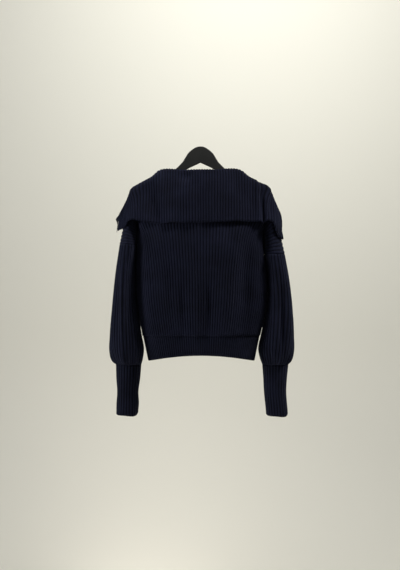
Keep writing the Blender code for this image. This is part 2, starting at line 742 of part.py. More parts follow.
def edge_point(side, rib):
    """The collar's free edge."""
    if rib <= SHOULDER_RIB:
        x = COLLAR_PITCH * rib
        z = float(read(EDGE_BACK, "x", "z", SIDES[side] * x))
        hung = -(spread(shoulder(x) - z) + COVER + 0.005)
        data = EDGE_LEFT if side == "left" else EDGE_RIGHT
        blend = smooth((rib - 14) / (SHOULDER_RIB - 14))
        return np.array((x, mix(hung, data["y"][0], blend), z))
    data = EDGE_LEFT if side == "left" else EDGE_RIGHT
    return np.array([float(read(data, "rib", axis, rib)) for axis in "xyz"])


def collar_line(side, rib, neck):
    """Control points of one collar rib: neck seam, over the shoulder line, down to the edge."""
    seam = walk(neck, [lengths(neck)[-1] * rib / COLLAR_HALF_RIBS])[0]
    edge = edge_point(side, rib)
    x = COLLAR_PITCH * rib
    if rib <= SHOULDER_RIB:
        height = float(read(ROLL, "x", side, x))
        lean = -(spread(shoulder(0.0) - NECK_BACK) + STAND_LEAN) * (1 - smooth(x / 0.13))
        crossing = np.array((x, lean, height))
    else:
        share = (rib - SHOULDER_RIB) / (COLLAR_HALF_RIBS - SHOULDER_RIB)
        height = float(read(CROSSING, "share", "z", share))
        before = max(0.0, edge[1] + FRONT_TURN * share)
        crossing = np.array((float(read(FLANK, "z", side, height)), before, height))
    stand = mix(seam, crossing, 0.5)
    stand[1] += 0.003 * smooth((rib - 6) / 5) * (1 - smooth((rib - 12) / 4))
    stand[1] += 0.006 * smooth((rib - BACK_SHARE - 2) / 6)
    stand[2] += 0.006 * smooth((rib - BACK_SHARE) / 8)
    points = [seam, stand, crossing]
    if np.linalg.norm(edge - crossing) > 0.03:
        fall = mix(crossing, edge, 0.45)
        fall[1] -= 0.012 * (1 - smooth((rib - 8) / 26))
        fall[0] += 0.003 * smooth((rib - SHOULDER_RIB) / 4)
        points.append(fall)
    points.append(edge)
    return np.array(points)


def cloth_surface():
    """Taut surface over the panels' upper part, for the collar to lie on."""
    mesh = bmesh.new()
    for side in SIDES:
        for face in ("back", "front"):
            base, facing = panel_shape(side, face)[:2]
            outer = base + facing * (WALL / 2 + RIB)
            for point in outer[:CORNER_ROW + 2].reshape(-1, 3):
                mesh.verts.new(point)
    hull = bmesh.ops.convex_hull(mesh, input=mesh.verts)
    bmesh.ops.delete(mesh, geom=hull["geom_interior"], context="VERTS")
    surface = BVHTree.FromBMesh(mesh)
    mesh.free()
    return surface


def lie_over(surface, point, cover):
    """Moves a point out from the hanger's core line until it clears the surface by `cover`."""
    far = 0.4
    core_x = math.copysign(min(abs(point[0]), CORE_END), point[0])
    core_z = min(point[2], shoulder(abs(core_x)) - CORE_DROP)
    core = Vector((core_x, 0.0, core_z))
    way = Vector(point) - core
    if way.length < 1e-6:
        return point
    distance = way.length
    way.normalize()
    hit = surface.ray_cast(core + way * far, -way, far)
    if hit[0] is None:
        return point
    slant = max(abs(hit[1].dot(way)), 0.5)
    needed = (hit[0] - core).length + cover / slant
    if distance >= needed:
        return point
    return np.array(core + way * needed)


def collar_rows(line, rib):
    """Distances of the rows along one collar rib: close together at the roll."""
    along = lengths(line)
    full, roll = along[-1], along[2 * CURVE_SAMPLES]
    wide = mix(ROLL_STEP, SIDE_STEP, smooth((rib - BACK_SHARE) / 10))
    step = min(wide, 0.4 * roll)
    after = min(wide, 0.22 * (full - roll))
    fall = np.linspace(roll + after, full, COLLAR_ROWS - 4)
    return np.concatenate([[0.0, (roll - step) * 0.55, roll - step, roll], fall])


def lay(grid, covers, surface):
    """Moves the collar's points, and the lines between its rows, clear of the surface."""
    for r in range(COLLAR_ROWS):
        for c in range(grid.shape[1]):
            if covers[r, c] > 0.1:
                grid[r, c] = lie_over(surface, grid[r, c], COVER * covers[r, c])
    for r in range(COLLAR_ROWS - 1):
        for c in range(grid.shape[1]):
            cover = min(covers[r, c], covers[r + 1, c])
            if cover > 0.1:
                for part in (0.5, 0.25, 0.75):
                    point = mix(grid[r, c], grid[r + 1, c], part)
                    shift = lie_over(surface, point, COVER * cover) - point
                    grid[r, c] += shift * (1 - part)
                    grid[r + 1, c] += shift * part


def collar_grid():
    """The collar's middle surface, laid over the panels and smoothed."""
    necks = {side: neck_seam(side) for side in SIDES}
    lines, covers = [], []
    ribs = np.arange(2 * COLLAR_HALF_RIBS * 2 + 1) * RIB_STEP - COLLAR_HALF_RIBS
    least = (WALL / 2 + SEAM_LIFT) / COVER
    for rib in ribs:
        side = "left" if rib < 0 else "right"
        line = curve_through(collar_line(side, abs(rib), necks[side]))
        places = collar_rows(line, abs(rib))
        row = walk(line, places)
        row[:, 0] *= SIDES[side]
        lines.append(row)
        on_front = mix(least, 1.0, smooth(places / COVER_RAMP))
        on_front[0] *= abs(rib) > BACK_SHARE + 1.2
        behind = (np.arange(COLLAR_ROWS) > 3) * 1.0
        covers.append(mix(behind, on_front, smooth((abs(rib) - BACK_SHARE) / 2)))
    grid = np.array(lines).transpose(1, 0, 2)
    covers = np.array(covers).T
    surface = cloth_surface()
    for _ in range(COLLAR_PASSES):
        lay(grid, covers, surface)
        soft = grid.copy()
        soft[1:-1, 1:-1] = (grid[:-2, 1:-1] + grid[2:, 1:-1]) * 0.03
        soft[1:-1, 1:-1] += (grid[1:-1, :-2] + grid[1:-1, 2:]) * 0.25
        soft[1:-1, 1:-1] += grid[1:-1, 1:-1] * 0.44
        for row in (0, -1):
            soft[row, 1:-1] = (grid[row, :-2] + grid[row, 2:]) * 0.15 + grid[row, 1:-1] * 0.7
        grid = soft
    lay(grid, covers, surface)
    return grid


def collar_rise(grid):
    ribs = (np.arange(grid.shape[1]) * RIB_STEP - COLLAR_HALF_RIBS)[None, :]
    down = np.linspace(0.0, 1.0, grid.shape[0])[:, None]
    total = np.zeros(grid.shape[:2])
    for k in range(len(COLLAR_FOLDS["rise"])):
        start, end = COLLAR_FOLDS["start"][k], COLLAR_FOLDS["end"][k]
        part = np.clip((down - start) / (end - start), 0.0, 1.0)
        centre = mix(COLLAR_FOLDS["rib_top"][k], COLLAR_FOLDS["rib_edge"][k], part)
        across = np.exp(-((ribs - centre) / COLLAR_FOLDS["width"][k]) ** 2)
        total += COLLAR_FOLDS["rise"][k] * across * smooth(part * 3)
    return total


def collar_shape():
    """Middle points and facing of the collar, with its folds."""
    grid = collar_grid()
    facing = -normals(grid, False)
    step = unit(grid[1] - grid[0])
    facing[0] = unit(facing[1] - step * (facing[1] * step).sum(axis=1, keepdims=True))
    for _ in range(SEAM_PASSES):
        facing[:2, 1:-1] = unit(facing[:2, :-2] + 2 * facing[:2, 1:-1] + facing[:2, 2:])
    return grid + facing * collar_rise(grid)[..., None], facing


def collar(base, facing):
    last = base.shape[1] - 1
    side = COLLAR_FINE
    plain = list(range(0, side, 2)) + list(range(side, last - side, 4))
    plain += list(range(last - side, last + 1, 2))
    ribbed, thicker = np.ones(base.shape[:2]), np.zeros(base.shape[:2])
    ribbed[0], thicker[0] = 0.0, -SEAM_THINNER
    wall("collar", base, facing, NAVY, plain, ribbed=ribbed, thicker=thicker)


# ---------------------------------------------------------------- zip

def strip(name, within, beyond, facing):
    """Zip tape: a flat strip between a line on the cloth and a line past its edge."""
    mesh = bmesh.new()
    rings = []
    for first, second, face in zip(within, beyond, facing):
        ring = [first, second, second + face * TAPE, first + face * TAPE]
        rings.append([mesh.verts.new(p) for p in ring])
    for a, b in zip(rings, rings[1:]):
        for k in range(4):
            m = (k + 1) % 4
            add_quad(mesh, (a[k], b[k], b[m], a[m]), True)
    add_quad(mesh, rings[0], True)
    add_quad(mesh, rings[-1][::-1], True)
    return finish(name, mesh, TAPE_NAVY, roughness=0.8)


def front_tape(side):
    """Tape behind a front's edge, from the hem to the neckline, along the wall's rows."""
    base, facing = panel_shape(side, "front")[:2]
    hem = np.array([hem_line(side, "front", rib) for rib in (0.0, 1.0)]).transpose(1, 0, 2)
    hem = np.vstack([hem[:1], hem[-1:]])
    hem_facing = np.repeat(facing[-1:, :1], 2, axis=0)
    edge = np.vstack([base[:, 0], hem[:, 0]])
    within = np.vstack([base[:, 2], hem[:, 1]])
    out = np.vstack([facing[:, 0], hem_facing[:, 0]])
    edgeward = unit(edge - within)
    edge[0] = mix(edge[0], edge[1], 0.5)
    edge[-1, 2] += 0.002
    behind = edge - out * (WALL / 2 + SEAM + TAPE_EASE + TAPE)
    strip(f"zip_tape_{side}", behind - edgeward * TAPE_UNDER, behind + edgeward * TAPE_OUT, out)


def collar_tape(side, base, facing):
    """Tape on the collar's short edge, ending in a small tab past its corner."""
    column, beside = (0, 1) if side == "left" else (-1, -2)
    over = base + facing * (WALL / 2 + RIB + SEAM)
    within, edge, out = over[1:, beside], over[1:, column], facing[1:, column]
    edgeward = unit(edge - within)
    edgeward[1:-1] = unit(edgeward[:-2] + edgeward[1:-1] + edgeward[2:])
    beyond = edge + edgeward * TAPE_OUT
    tab = unit(base[-1, column] - base[-2, column]) * TAPE_END
    strip(f"collar_tape_{side}", np.vstack([within, within[-1] + tab]),
          np.vstack([beyond, beyond[-1] + tab]), np.vstack([out, out[-1]]))


def box(mesh, size, centre):
    made = bmesh.ops.create_cube(mesh, size=1.0)
    bmesh.ops.scale(mesh, vec=Vector(size), verts=made["verts"])
    bmesh.ops.translate(mesh, vec=Vector(centre), verts=made["verts"])


def slider_place():
    z = mix(FRONT_CORNER, HEM_SEAM, DOWN_SHARES[0])
    tape_front = section_point("left", "front", 0.0, z, EDGE_GAP)[1] - WALL / 2 - SEAM
    return tape_front + SEAM + SLIDER[1] / 2, z


def zip_slider():
    """Slider body with its bridge: a half loop standing on the front."""
    y, z = slider_place()
    mesh = bmesh.new()
    box(mesh, SLIDER, (0.0, y, z))
    bmesh.ops.bevel(mesh, geom=mesh.edges[:], offset=0.0007, offset_type="OFFSET", segments=1,
                    profile=0.5, affect="EDGES", material=-1)
    body = finish("zip_slider", mesh, ZIP_METAL, roughness=0.35, metallic=1.0)
    face = y + SLIDER[1] / 2
    width, depth, height = BRIDGE
    loop = bmesh.new()
    outer = [(-height / 2, -0.0006), (-height / 2, depth), (height / 2, depth),
             (height / 2, -0.0006)]
    inner = [(height / 2 - BRIDGE_WALL, -0.0006), (height / 2 - BRIDGE_WALL, depth - BRIDGE_WALL),
             (BRIDGE_WALL - height / 2, depth - BRIDGE_WALL), (BRIDGE_WALL - height / 2, -0.0006)]
    ring = [loop.verts.new((-width / 2, face + d, z + h)) for h, d in outer + inner]
    side_face = loop.faces.new(ring)
    pushed = bmesh.ops.extrude_face_region(loop, geom=[side_face])
    moved = [v for v in pushed["geom"] if isinstance(v, bmesh.types.BMVert)]
    bmesh.ops.translate(loop, vec=(width, 0, 0), verts=moved)
    bmesh.ops.recalc_face_normals(loop, faces=loop.faces)
    bridge = finish("slider_bridge", loop, ZIP_METAL, roughness=0.35, metallic=1.0)
    join(body, bridge, "UNION")
    return body


def join(body, other, operation):
    """Boolean with a guide piece that isn't part of the model."""
    other.hide_render = True
    other.display_type = "WIRE"
    change = body.modifiers.new(operation.lower(), "BOOLEAN")
    change.operation = operation
    change.object = other
    change.solver = "EXACT"


def pull_axis():
    y, z = slider_place()
    inside = BRIDGE[1] - BRIDGE_WALL
    return y + SLIDER[1] / 2 + inside / 2, z


def zip_pull():
    """Pull tab with a window round the bridge. Its origin is on the hinge axis."""
    y, z = pull_axis()
    width, thick, long = PULL
    mesh = bmesh.new()
    radius = width / 2
    bottom = [(radius * math.cos(a), -(long - radius) - radius * math.sin(a))
              for a in np.linspace(0, math.pi, 9)]
    outline = [(radius, PULL_BAR / 2)] + bottom + [(-radius, PULL_BAR / 2)]
    ring = [mesh.verts.new((px, -thick / 2, pz)) for px, pz in outline]
    plate = mesh.faces.new(ring)
    pushed = bmesh.ops.extrude_face_region(mesh, geom=[plate])
    moved = [v for v in pushed["geom"] if isinstance(v, bmesh.types.BMVert)]
    bmesh.ops.translate(mesh, vec=(0, thick, 0), verts=moved)
    bmesh.ops.recalc_face_normals(mesh, faces=mesh.faces)
    piece = finish("zip_pull", mesh, ZIP_METAL, roughness=0.35, metallic=1.0)
    piece.location = (0.0, y, z)
    cutter = bmesh.new()
    wide, high = PULL_WINDOW
    box(cutter, (wide, thick * 3, high), (0.0, 0.0, -PULL_BAR / 2 - high / 2))
    window = finish("pull_window", cutter, ZIP_METAL)
    window.location = piece.location
    join(piece, window, "DIFFERENCE")
    return piece


# ---------------------------------------------------------------- hanger

def hanger():
    """Flat plate: crown, sloping arms, and the notch under the crown."""
    right = list(zip(PLATE_EDGE["x"], PLATE_EDGE["z"]))
    outline = [(0.0, 0.0)] + right + [(0.0, NOTCH_TOP)] + [(-x, z) for x, z in reversed(right)]
    mesh = bmesh.new()
    ring = [mesh.verts.new((x, -PLATE / 2, z)) for x, z in outline]
    plate = mesh.faces.new(ring)
    pushed = bmesh.ops.extrude_face_region(mesh, geom=[plate])
    moved = [v for v in pushed["geom"] if isinstance(v, bmesh.types.BMVert)]
    bmesh.ops.translate(mesh, vec=(0, PLATE, 0), verts=moved)
    bmesh.ops.recalc_face_normals(mesh, faces=mesh.faces)
    rims = [e for e in mesh.edges if abs(e.verts[0].co.y - e.verts[1].co.y) < 1e-6]
    bmesh.ops.bevel(mesh, geom=rims, offset=PLATE_BEVEL, offset_type="OFFSET", segments=1,
                    profile=0.5, affect="EDGES", material=-1)
    bmesh.ops.triangulate(mesh, faces=mesh.faces[:])
    return finish("hanger", mesh, HANGER_BLACK, roughness=0.5)


def main():
    for thing in list(bpy.data.objects):
        bpy.data.objects.remove(thing, do_unlink=True)
    hanger()
    back_panel()
    hem_band()
    for side, sleeve, cuff in (("left", SLEEVE_LEFT, CUFF_LEFT),
                               ("right", SLEEVE_RIGHT, CUFF_RIGHT)):
        front_panel(side)
        tube(f"sleeve_{side}", side, sleeve, SLEEVE_RIBS, NAVY)
        tube(f"cuff_{side}", side, cuff, CUFF_RIBS, NAVY_HEM)
        front_tape(side)
    base, facing = collar_shape()
    collar(base, facing)
    for side in SIDES:
        collar_tape(side, base, facing)
    zip_slider()
    zip_pull()


main()
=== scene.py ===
# Zip-up rib cardigan with a cape-like folded collar, hanging on a flat dark hanger, seen from its back.
# Metres, +Z up; the back faces -Y, the zip faces +Y and the wearer's right is +X.
import json
import math

import bmesh
import bpy
import numpy as np
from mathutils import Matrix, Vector
from mathutils.bvhtree import BVHTree

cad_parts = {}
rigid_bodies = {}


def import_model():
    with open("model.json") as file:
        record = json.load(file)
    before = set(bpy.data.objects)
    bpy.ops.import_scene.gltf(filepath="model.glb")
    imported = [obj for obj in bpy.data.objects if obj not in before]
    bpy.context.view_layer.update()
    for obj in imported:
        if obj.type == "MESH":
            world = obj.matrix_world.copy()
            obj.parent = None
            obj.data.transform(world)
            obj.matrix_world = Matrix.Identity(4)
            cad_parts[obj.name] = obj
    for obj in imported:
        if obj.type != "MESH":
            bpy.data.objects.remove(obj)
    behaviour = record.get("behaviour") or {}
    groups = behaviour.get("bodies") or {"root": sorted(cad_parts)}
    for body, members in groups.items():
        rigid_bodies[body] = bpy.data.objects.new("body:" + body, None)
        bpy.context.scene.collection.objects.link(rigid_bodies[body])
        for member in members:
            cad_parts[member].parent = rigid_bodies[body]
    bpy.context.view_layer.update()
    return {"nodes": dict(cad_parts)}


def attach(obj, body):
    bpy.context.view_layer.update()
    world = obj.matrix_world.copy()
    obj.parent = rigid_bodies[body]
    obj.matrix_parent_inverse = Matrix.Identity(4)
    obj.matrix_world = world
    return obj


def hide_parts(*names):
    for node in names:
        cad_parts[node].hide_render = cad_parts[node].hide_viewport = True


for thing in list(bpy.data.objects):
    bpy.data.objects.remove(thing, do_unlink=True)
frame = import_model()
print("frame loaded")

sides = {"left": -1, "right": 1}


def table(names, *rows):  # named columns, one row for each section or fold
    return {name: np.array(values) for name, values in zip(names.split(), zip(*rows))}


cloth = {
    "wall": 0.0024,  # knitted wall in the valley between two ribs
    "rib": 0.0018,  # height of a rib above its valley
    "seam": 0.0003,  # space between two pieces at a seam
    "curveSamples": 12,  # points between two control points of a line
    "ribStep": 0.5,  # columns lie at each rib's valley and at its top
    "fine": 6,  # columns for each rib
    "rowStep": 0.0065,  # wanted distance between rows
    "ribPower": 0.62,  # below 1 for a rounder rib with a sharp valley
    "stitch": 0.0046,  # height of one knitted stitch
    "rim": 0.0008,  # how far a free edge is rounded out
    "waves": 7,  # waves added up where ribs and stitches stray
    "waveSizes": (0.6, 1.7),
    "waveSum": 3.2,  # what their total is divided by
    "strayAcross": 16,  # ribs to one wave of straying ribs
    "strayAlong": 5,  # waves for each metre along them
}


def read(data, key, name, value):
    order = np.argsort(data[key])
    x, y = data[key][order], data[name][order]
    steps = np.diff(x)
    slopes = np.diff(y) / steps
    tangents = np.empty_like(y)
    tangents[0], tangents[-1] = slopes[0], slopes[-1]
    product = slopes[:-1] * slopes[1:]
    total = slopes[:-1] + slopes[1:]
    safe = np.where(np.abs(total) < 1e-12, 1.0, total)
    tangents[1:-1] = np.where(product > 0, 2 * product / safe, 0.0)
    k = np.clip(np.searchsorted(x, value, side="right") - 1, 0, len(x) - 2)
    t = np.clip((value - x[k]) / steps[k], 0.0, 1.0)
    rise = (1 + 2 * t) * (1 - t) ** 2 * y[k] + t * t * (3 - 2 * t) * y[k + 1]
    return rise + (t * (1 - t) ** 2 * tangents[k] - t * t * (1 - t) * tangents[k + 1]) * steps[k]


def smooth(t):
    t = np.clip(t, 0.0, 1.0)
    return t * t * (3 - 2 * t)


def ramp(value, start, end):  # rises smoothly from 0 to 1 between two values
    return smooth((value - start) / (end - start))


def mix(a, b, t):
    return a + (b - a) * t


def lengths(points):
    return np.concatenate([[0.0], np.cumsum(np.linalg.norm(np.diff(points, axis=0), axis=1))])


def walk(points, places):
    along = lengths(points)
    return np.stack([np.interp(places, along, points[:, axis]) for axis in range(3)], axis=1)


def curveThrough(points):
    points = np.asarray(points, dtype=float)
    padded = np.vstack([2 * points[0] - points[1], points, 2 * points[-1] - points[-2]])
    line = []
    for a, b, c, d in zip(padded[:-3], padded[1:-2], padded[2:-1], padded[3:]):
        for t in np.linspace(0, 1, cloth["curveSamples"], endpoint=False):
            line.append(0.5 * (2 * b + (c - a) * t + (2 * a - 5 * b + 4 * c - d) * t * t
                               + (3 * b - a - 3 * c + d) * t ** 3))
    line.append(points[-1])
    return np.array(line)


def unit(vectors):
    return vectors / np.maximum(np.linalg.norm(vectors, axis=-1, keepdims=True), 1e-9)


def tangents(grid, axis, closed=False):
    steps = unit(np.diff(grid, axis=axis))
    if closed:
        around = unit(np.roll(grid, -1, axis=axis) - grid)
        return around + np.roll(around, 1, axis=axis)
    first, last = np.take(steps, [0], axis=axis), np.take(steps, [-1], axis=axis)
    padded = np.concatenate([first, steps, last], axis=axis)
    count = grid.shape[axis]
    return np.take(padded, range(count), axis=axis) + np.take(padded, range(1, count + 1), axis=axis)


def normals(grid, closed):
    return unit(np.cross(tangents(grid, 1, closed), tangents(grid, 0)))


def wander(a, b, seed):  # slow, uneven change over a surface, about -1 to 1
    chance = np.random.default_rng(seed)
    total = np.zeros(np.broadcast(a, b).shape)
    for _ in range(cloth["waves"]):
        turn = chance.uniform(0, 2 * math.pi)
        size = chance.uniform(*cloth["waveSizes"])
        start = chance.uniform(0, 6.3)
        total += np.sin(size * (a * math.cos(turn) + b * math.sin(turn)) * 2 * math.pi + start)
    return total / cloth["waveSum"]


def gapParts(grid, wanted):  # how many parts each gap between rows is cut into
    steps = np.linalg.norm(np.diff(grid, axis=0), axis=2)
    return np.maximum(np.rint(steps.mean(axis=1) / wanted), 1).astype(int)


def finerRows(grid, parts, closed=False):  # smooth lines through the rows of a grid
    following = np.concatenate([grid[1:], grid[:1]]) if closed else grid[1:]
    steps = np.linalg.norm(following - grid[:len(following)], axis=2, keepdims=True) + 1e-7
    slopes = (following - grid[:len(following)]) / steps
    if closed:
        before, after = np.roll(slopes, 1, axis=0), slopes
        long, short = np.roll(steps, 1, axis=0), steps
        ways = (before * short + after * long) / (long + short)
    else:
        inside = (slopes[:-1] * steps[1:] + slopes[1:] * steps[:-1]) / (steps[:-1] + steps[1:])
        ways = np.concatenate([slopes[:1], inside, slopes[-1:]])
    rows = []
    for k, count in enumerate(parts):
        m = (k + 1) % len(grid)
        for t in np.arange(count) / count:
            bend = (t * (1 - t) ** 2 * ways[k] - t * t * (1 - t) * ways[m]) * steps[k]
            rows.append(mix(grid[k], grid[m], t * t * (3 - 2 * t)) + bend)
    if not closed:
        rows.append(grid[-1])
    return np.array(rows)


def evenRows(values, parts, closed=False):  # straight change between the rows
    rows = []
    for k, count in enumerate(parts):
        m = (k + 1) % len(values)
        rows += [mix(values[k], values[m], t) for t in np.arange(count) / count]
    if not closed:
        rows.append(values[-1])
    return np.array(rows)


def finer(base, facing, ribbed, closed=False, rowStep=None):  # the same wall with more rows and columns
    rowParts = gapParts(base, rowStep or cloth["rowStep"])
    columnCount = base.shape[1] - (0 if closed else 1)
    columnParts = [cloth["fine"] // 2] * columnCount
    base = finerRows(base, rowParts).swapaxes(0, 1)
    facing = evenRows(facing, rowParts).swapaxes(0, 1)
    ribbed = evenRows(ribbed, rowParts).swapaxes(0, 1)
    base = finerRows(base, columnParts, closed).swapaxes(0, 1)
    facing = unit(evenRows(facing, columnParts, closed).swapaxes(0, 1))
    return base, facing, evenRows(ribbed, columnParts, closed).swapaxes(0, 1)


def runDown(base):  # how far each row lies from the first, along its column
    steps = np.linalg.norm(np.diff(base, axis=0), axis=2)
    return np.concatenate([np.zeros((1, base.shape[1])), np.cumsum(steps, axis=0)])


def uneven(base, seed, amount=0.0007):  # ribs that stray a little from their lines
    rows, columns = base.shape[:2]
    along = runDown(base)
    across = np.broadcast_to(np.arange(columns)[None, :] / cloth["fine"], (rows, columns))
    beside = unit(tangents(base, 1))
    stray = wander(across / cloth["strayAcross"], along * cloth["strayAlong"], seed) * amount
    stray[:, [0, -1]] = 0.0
    return base + beside * stray[..., None]


def show(name, data):
    made = bpy.data.objects.new(name, data)
    bpy.context.scene.collection.objects.link(made)
    return made


def shell(name, base, facing, ribbed, knit, closed=False, limit=None, ribs=1.0, inside=0.35,
          wall=cloth["wall"], rim=cloth["rim"]):
    # outer and inner side of one knitted wall, joined round its free edges
    rows, columns = base.shape[:2]
    phase = np.arange(columns) / cloth["fine"]
    raised = np.abs(np.sin(math.pi * phase)) ** cloth["ribPower"]
    lowered = np.abs(np.cos(math.pi * phase)) ** cloth["ribPower"]
    half = wall / 2
    height = cloth["rib"] * ribs * raised[None, :] * ribbed
    depth = cloth["rib"] * inside * lowered[None, :] * ribbed
    outer, inner = base + facing * (half + height)[..., None], base - facing * (half + depth)[..., None]
    if limit:
        outer, inner = limit(outer), limit(inner)
    rims = []
    for row, beside in ((0, 1), (rows - 1, rows - 2)):
        way = unit(base[row] - base[beside]) * rim
        rims.append((outer[row] + inner[row]) / 2 + (0 if limit else way))
    loops = np.concatenate([outer, rims[1][None], inner[::-1], rims[0][None]])
    run = runDown(base)
    long = np.concatenate([run, run[-1:], run[::-1], run[:1]]) / cloth["stitch"]
    count = len(loops)
    r, c = np.meshgrid(np.arange(count), np.arange(columns if closed else columns - 1), indexing="ij")
    r, c = r.ravel(), c.ravel()
    s, d = (r + 1) % count, c + 1
    cornerRows, cornerColumns = np.stack([r, s, s, r], axis=1), np.stack([c, c, d, d], axis=1)
    faces = (cornerRows * columns + cornerColumns % columns).tolist()
    across = cornerColumns / cloth["fine"]
    up = long[cornerRows, cornerColumns % columns]
    uv = np.stack([across, up], axis=2).reshape(-1, 2)
    if not closed:
        ends = []
        for column, turn in ((0, -1), (columns - 1, 1)):
            for row in range(rows - 1):
                ring = [row, row + 1, count - 2 - (row + 1), count - 2 - row]
                ends.append([k * columns + column for k in ring][::turn])
            ends.append([k * columns + column for k in (0, count - 2, count - 1)][::turn])
            ends.append([k * columns + column for k in (rows - 1, rows, rows + 1)][::turn])
        faces += ends
        uv = np.concatenate([uv, np.zeros((sum(map(len, ends)), 2))])
    mesh = bpy.data.meshes.new(name)
    mesh.from_pydata(loops.reshape(-1, 3).tolist(), [], faces)
    mesh.uv_layers.new(name="knit").data.foreach_set("uv", uv.ravel())
    mesh.polygons.foreach_set("use_smooth", [True] * len(mesh.polygons))
    mesh.update()
    check = bmesh.new()
    check.from_mesh(mesh)
    if check.calc_volume(signed=True) < 0:
        bmesh.ops.reverse_faces(check, faces=check.faces)
        check.to_mesh(mesh)
    check.free()
    mesh.materials.append(knit)
    return show(name, mesh)


def sew(piece, node):
    # a cloth piece that stands for a CAD node
    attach(piece, "garment")
    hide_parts(node)
    print(piece.name, len(piece.data.polygons), "faces")
    return piece


panels = {
    "halfRibs": 36,  # ribs from the middle of the back to a side seam
    "mainRibs": 20,  # of these, the ribs that hang from the hanger's arm
    "topPitch": 0.0093,  # rib spacing along the shoulder
    "armStart": (0.072, -0.0655),  # x and z where the hanger's straight arm begins
    "armSlope": 0.558,
    "armRest": 0.0054,  # the cloth's middle surface above the hanger's arm
    "neckHalf": 0.12,  # side neck point, from the centre
    "neckBack": -0.12,  # lowest point of the back neckline
    "neckFront": -0.20,  # lowest point of the front neckline
    "firstRow": 0.004,  # depth of the first row, which turns over the hanger
    "cornerDrop": 0.068,  # from the hanger's end down to the start of the underarm fold
    "frontCorner": -0.235,  # the same row at the zip, below the front neckline
    "runShares": (0.33, 0.66, 1.0),
    "runTurns": (0.0, 0.2, 0.48, 0.74, 1.0),
    "downShares": (0.22, 0.45, 0.72, 1.0),
    "wingSpread": 0.75,  # how fast a wing moves out over the arm
    "wingDepth": 0.068,  # half depth of the wing's lower edge
    "wingInner": 0.1815,  # inner end of the wing's lower edge
    "wingPasses": 14,  # times the wing's columns are smoothed
    "crease": 0.1775,  # the underarm fold between wing and body
    "creaseGrowth": 3.0,  # how fast the fold deepens from the hanger's end
    "creaseDepth": 0.7,
    "creaseShares": (0.06, 0.34, 0.67, 1.0),  # rows below the fold, on the side of the body
    "necklinePower": (2.5, 2),  # how round the back and the front neckline are
    "foldPower": 1.2,  # how fast a soft fold sets in and fades
    "wingRound": 0.85,
    "hemSeam": -0.537,
    "blouse": (-0.510, 0.020, 0.0045),  # fullness above the hem band: height, half height, depth
    "overHanger": (0.016, 0.004),  # depth taken at once below the shoulder, and how fast
    "spread": (0.072, 0.24),  # further depth, and the height over which it grows
    "sectionPower": 3.0,
    "nearGrowth": 12,  # how fast a change past the hanger's end sets in
    "edgeGap": 0.0045,  # from the centre to a front's edge where the zip is closed
    "neckOpen": 0.0445,  # the same at the neckline, pulled open by the collar
    # outer end and height of each wing's lower edge, where the sleeve is sewn on
    "armhole": {
        "left": (0.2266, -0.281),
        "right": (0.2366, -0.308),
    },
    # height, half width left and right, half depth back and front
    "body": table(
        "z left right back front",
        (-0.615, 0.1460, 0.1510, 0.071, 0.073),
        (-0.590, 0.1500, 0.1550, 0.074, 0.076),
        (-0.552, 0.1580, 0.1615, 0.079, 0.082),
        (-0.509, 0.1675, 0.1745, 0.084, 0.087),
        (-0.452, 0.1755, 0.1835, 0.087, 0.090),
        (-0.375, 0.1788, 0.1852, 0.088, 0.090),
        (-0.300, 0.1755, 0.1740, 0.088, 0.088),
        (-0.193, 0.1835, 0.1835, 0.074, 0.074),
    ),
    # rib spacing at the middle of a panel
    "pitch": table(
        "z pitch",
        (-0.615, 0.0058),
        (-0.560, 0.0062),
        (-0.485, 0.0071),
        (-0.400, 0.0075),
        (-0.325, 0.0080),
        (-0.280, 0.00855),
        (-0.193, 0.0093),
    ),
    # rows near the underarm fold: ribs left, and how far the wall moves in
    "fold": table(
        "row ribs inward",
        (2, 0.6, 0.0),
        (3, 0.0, 0.0012),
        (4, 0.0, 0.0014),
        (5, 0.3, 0.0006),
    ),
    # soft folds of the panels: x at the top and bottom of the fold, its half width,
    # its height (a trough is negative) and the heights where it starts and ends
    "backFolds": table(
        "xTop xBottom width rise top bottom",
        (-0.148, -0.130, 0.022, 0.0070, -0.22, -0.60),
        (-0.096, -0.085, 0.018, -0.0045, -0.26, -0.56),
        (-0.054, -0.048, 0.014, -0.0075, -0.34, -0.57),
        (-0.014, -0.012, 0.012, 0.0050, -0.35, -0.57),
        (0.023, 0.020, 0.011, -0.0070, -0.37, -0.56),
        (0.068, 0.056, 0.022, 0.0045, -0.28, -0.57),
        (0.136, 0.120, 0.024, -0.0150, -0.20, -0.59),
        (0.176, 0.168, 0.009, 0.0040, -0.22, -0.58),
        (-0.176, -0.168, 0.009, 0.0025, -0.22, -0.44),
    ),
    "frontFolds": table(
        "xTop xBottom width rise top bottom",
        (-0.140, -0.120, 0.021, -0.0060, -0.27, -0.57),
        (-0.092, -0.082, 0.018, 0.0030, -0.29, -0.57),
        (-0.048, -0.045, 0.014, -0.0045, -0.37, -0.56),
        (0.045, 0.040, 0.013, -0.0050, -0.40, -0.56),
        (0.088, 0.078, 0.020, 0.0030, -0.27, -0.58),
        (0.142, 0.124, 0.018, -0.0060, -0.30, -0.56),
        (0.176, 0.168, 0.009, 0.0025, -0.22, -0.44),
        (-0.176, -0.168, 0.009, 0.0025, -0.22, -0.44),
    ),
}
shoulderEnd = panels["topPitch"] * panels["mainRibs"]
cornerRow = 1 + len(panels["runShares"])
wingColumn = 2 * panels["mainRibs"]
lastColumn = 2 * panels["halfRibs"]
halfSeam = cloth["seam"] / 2


def shoulder(x):
    return panels["armStart"][1] - panels["armSlope"] * (x - panels["armStart"][0]) + panels["armRest"]


def spread(depth):
    depth = np.maximum(depth, 0.0)
    atOnce, fast = panels["overHanger"]
    further, height = panels["spread"]
    return atOnce * (1 - np.exp(-depth / fast)) + further * smooth(depth / height)


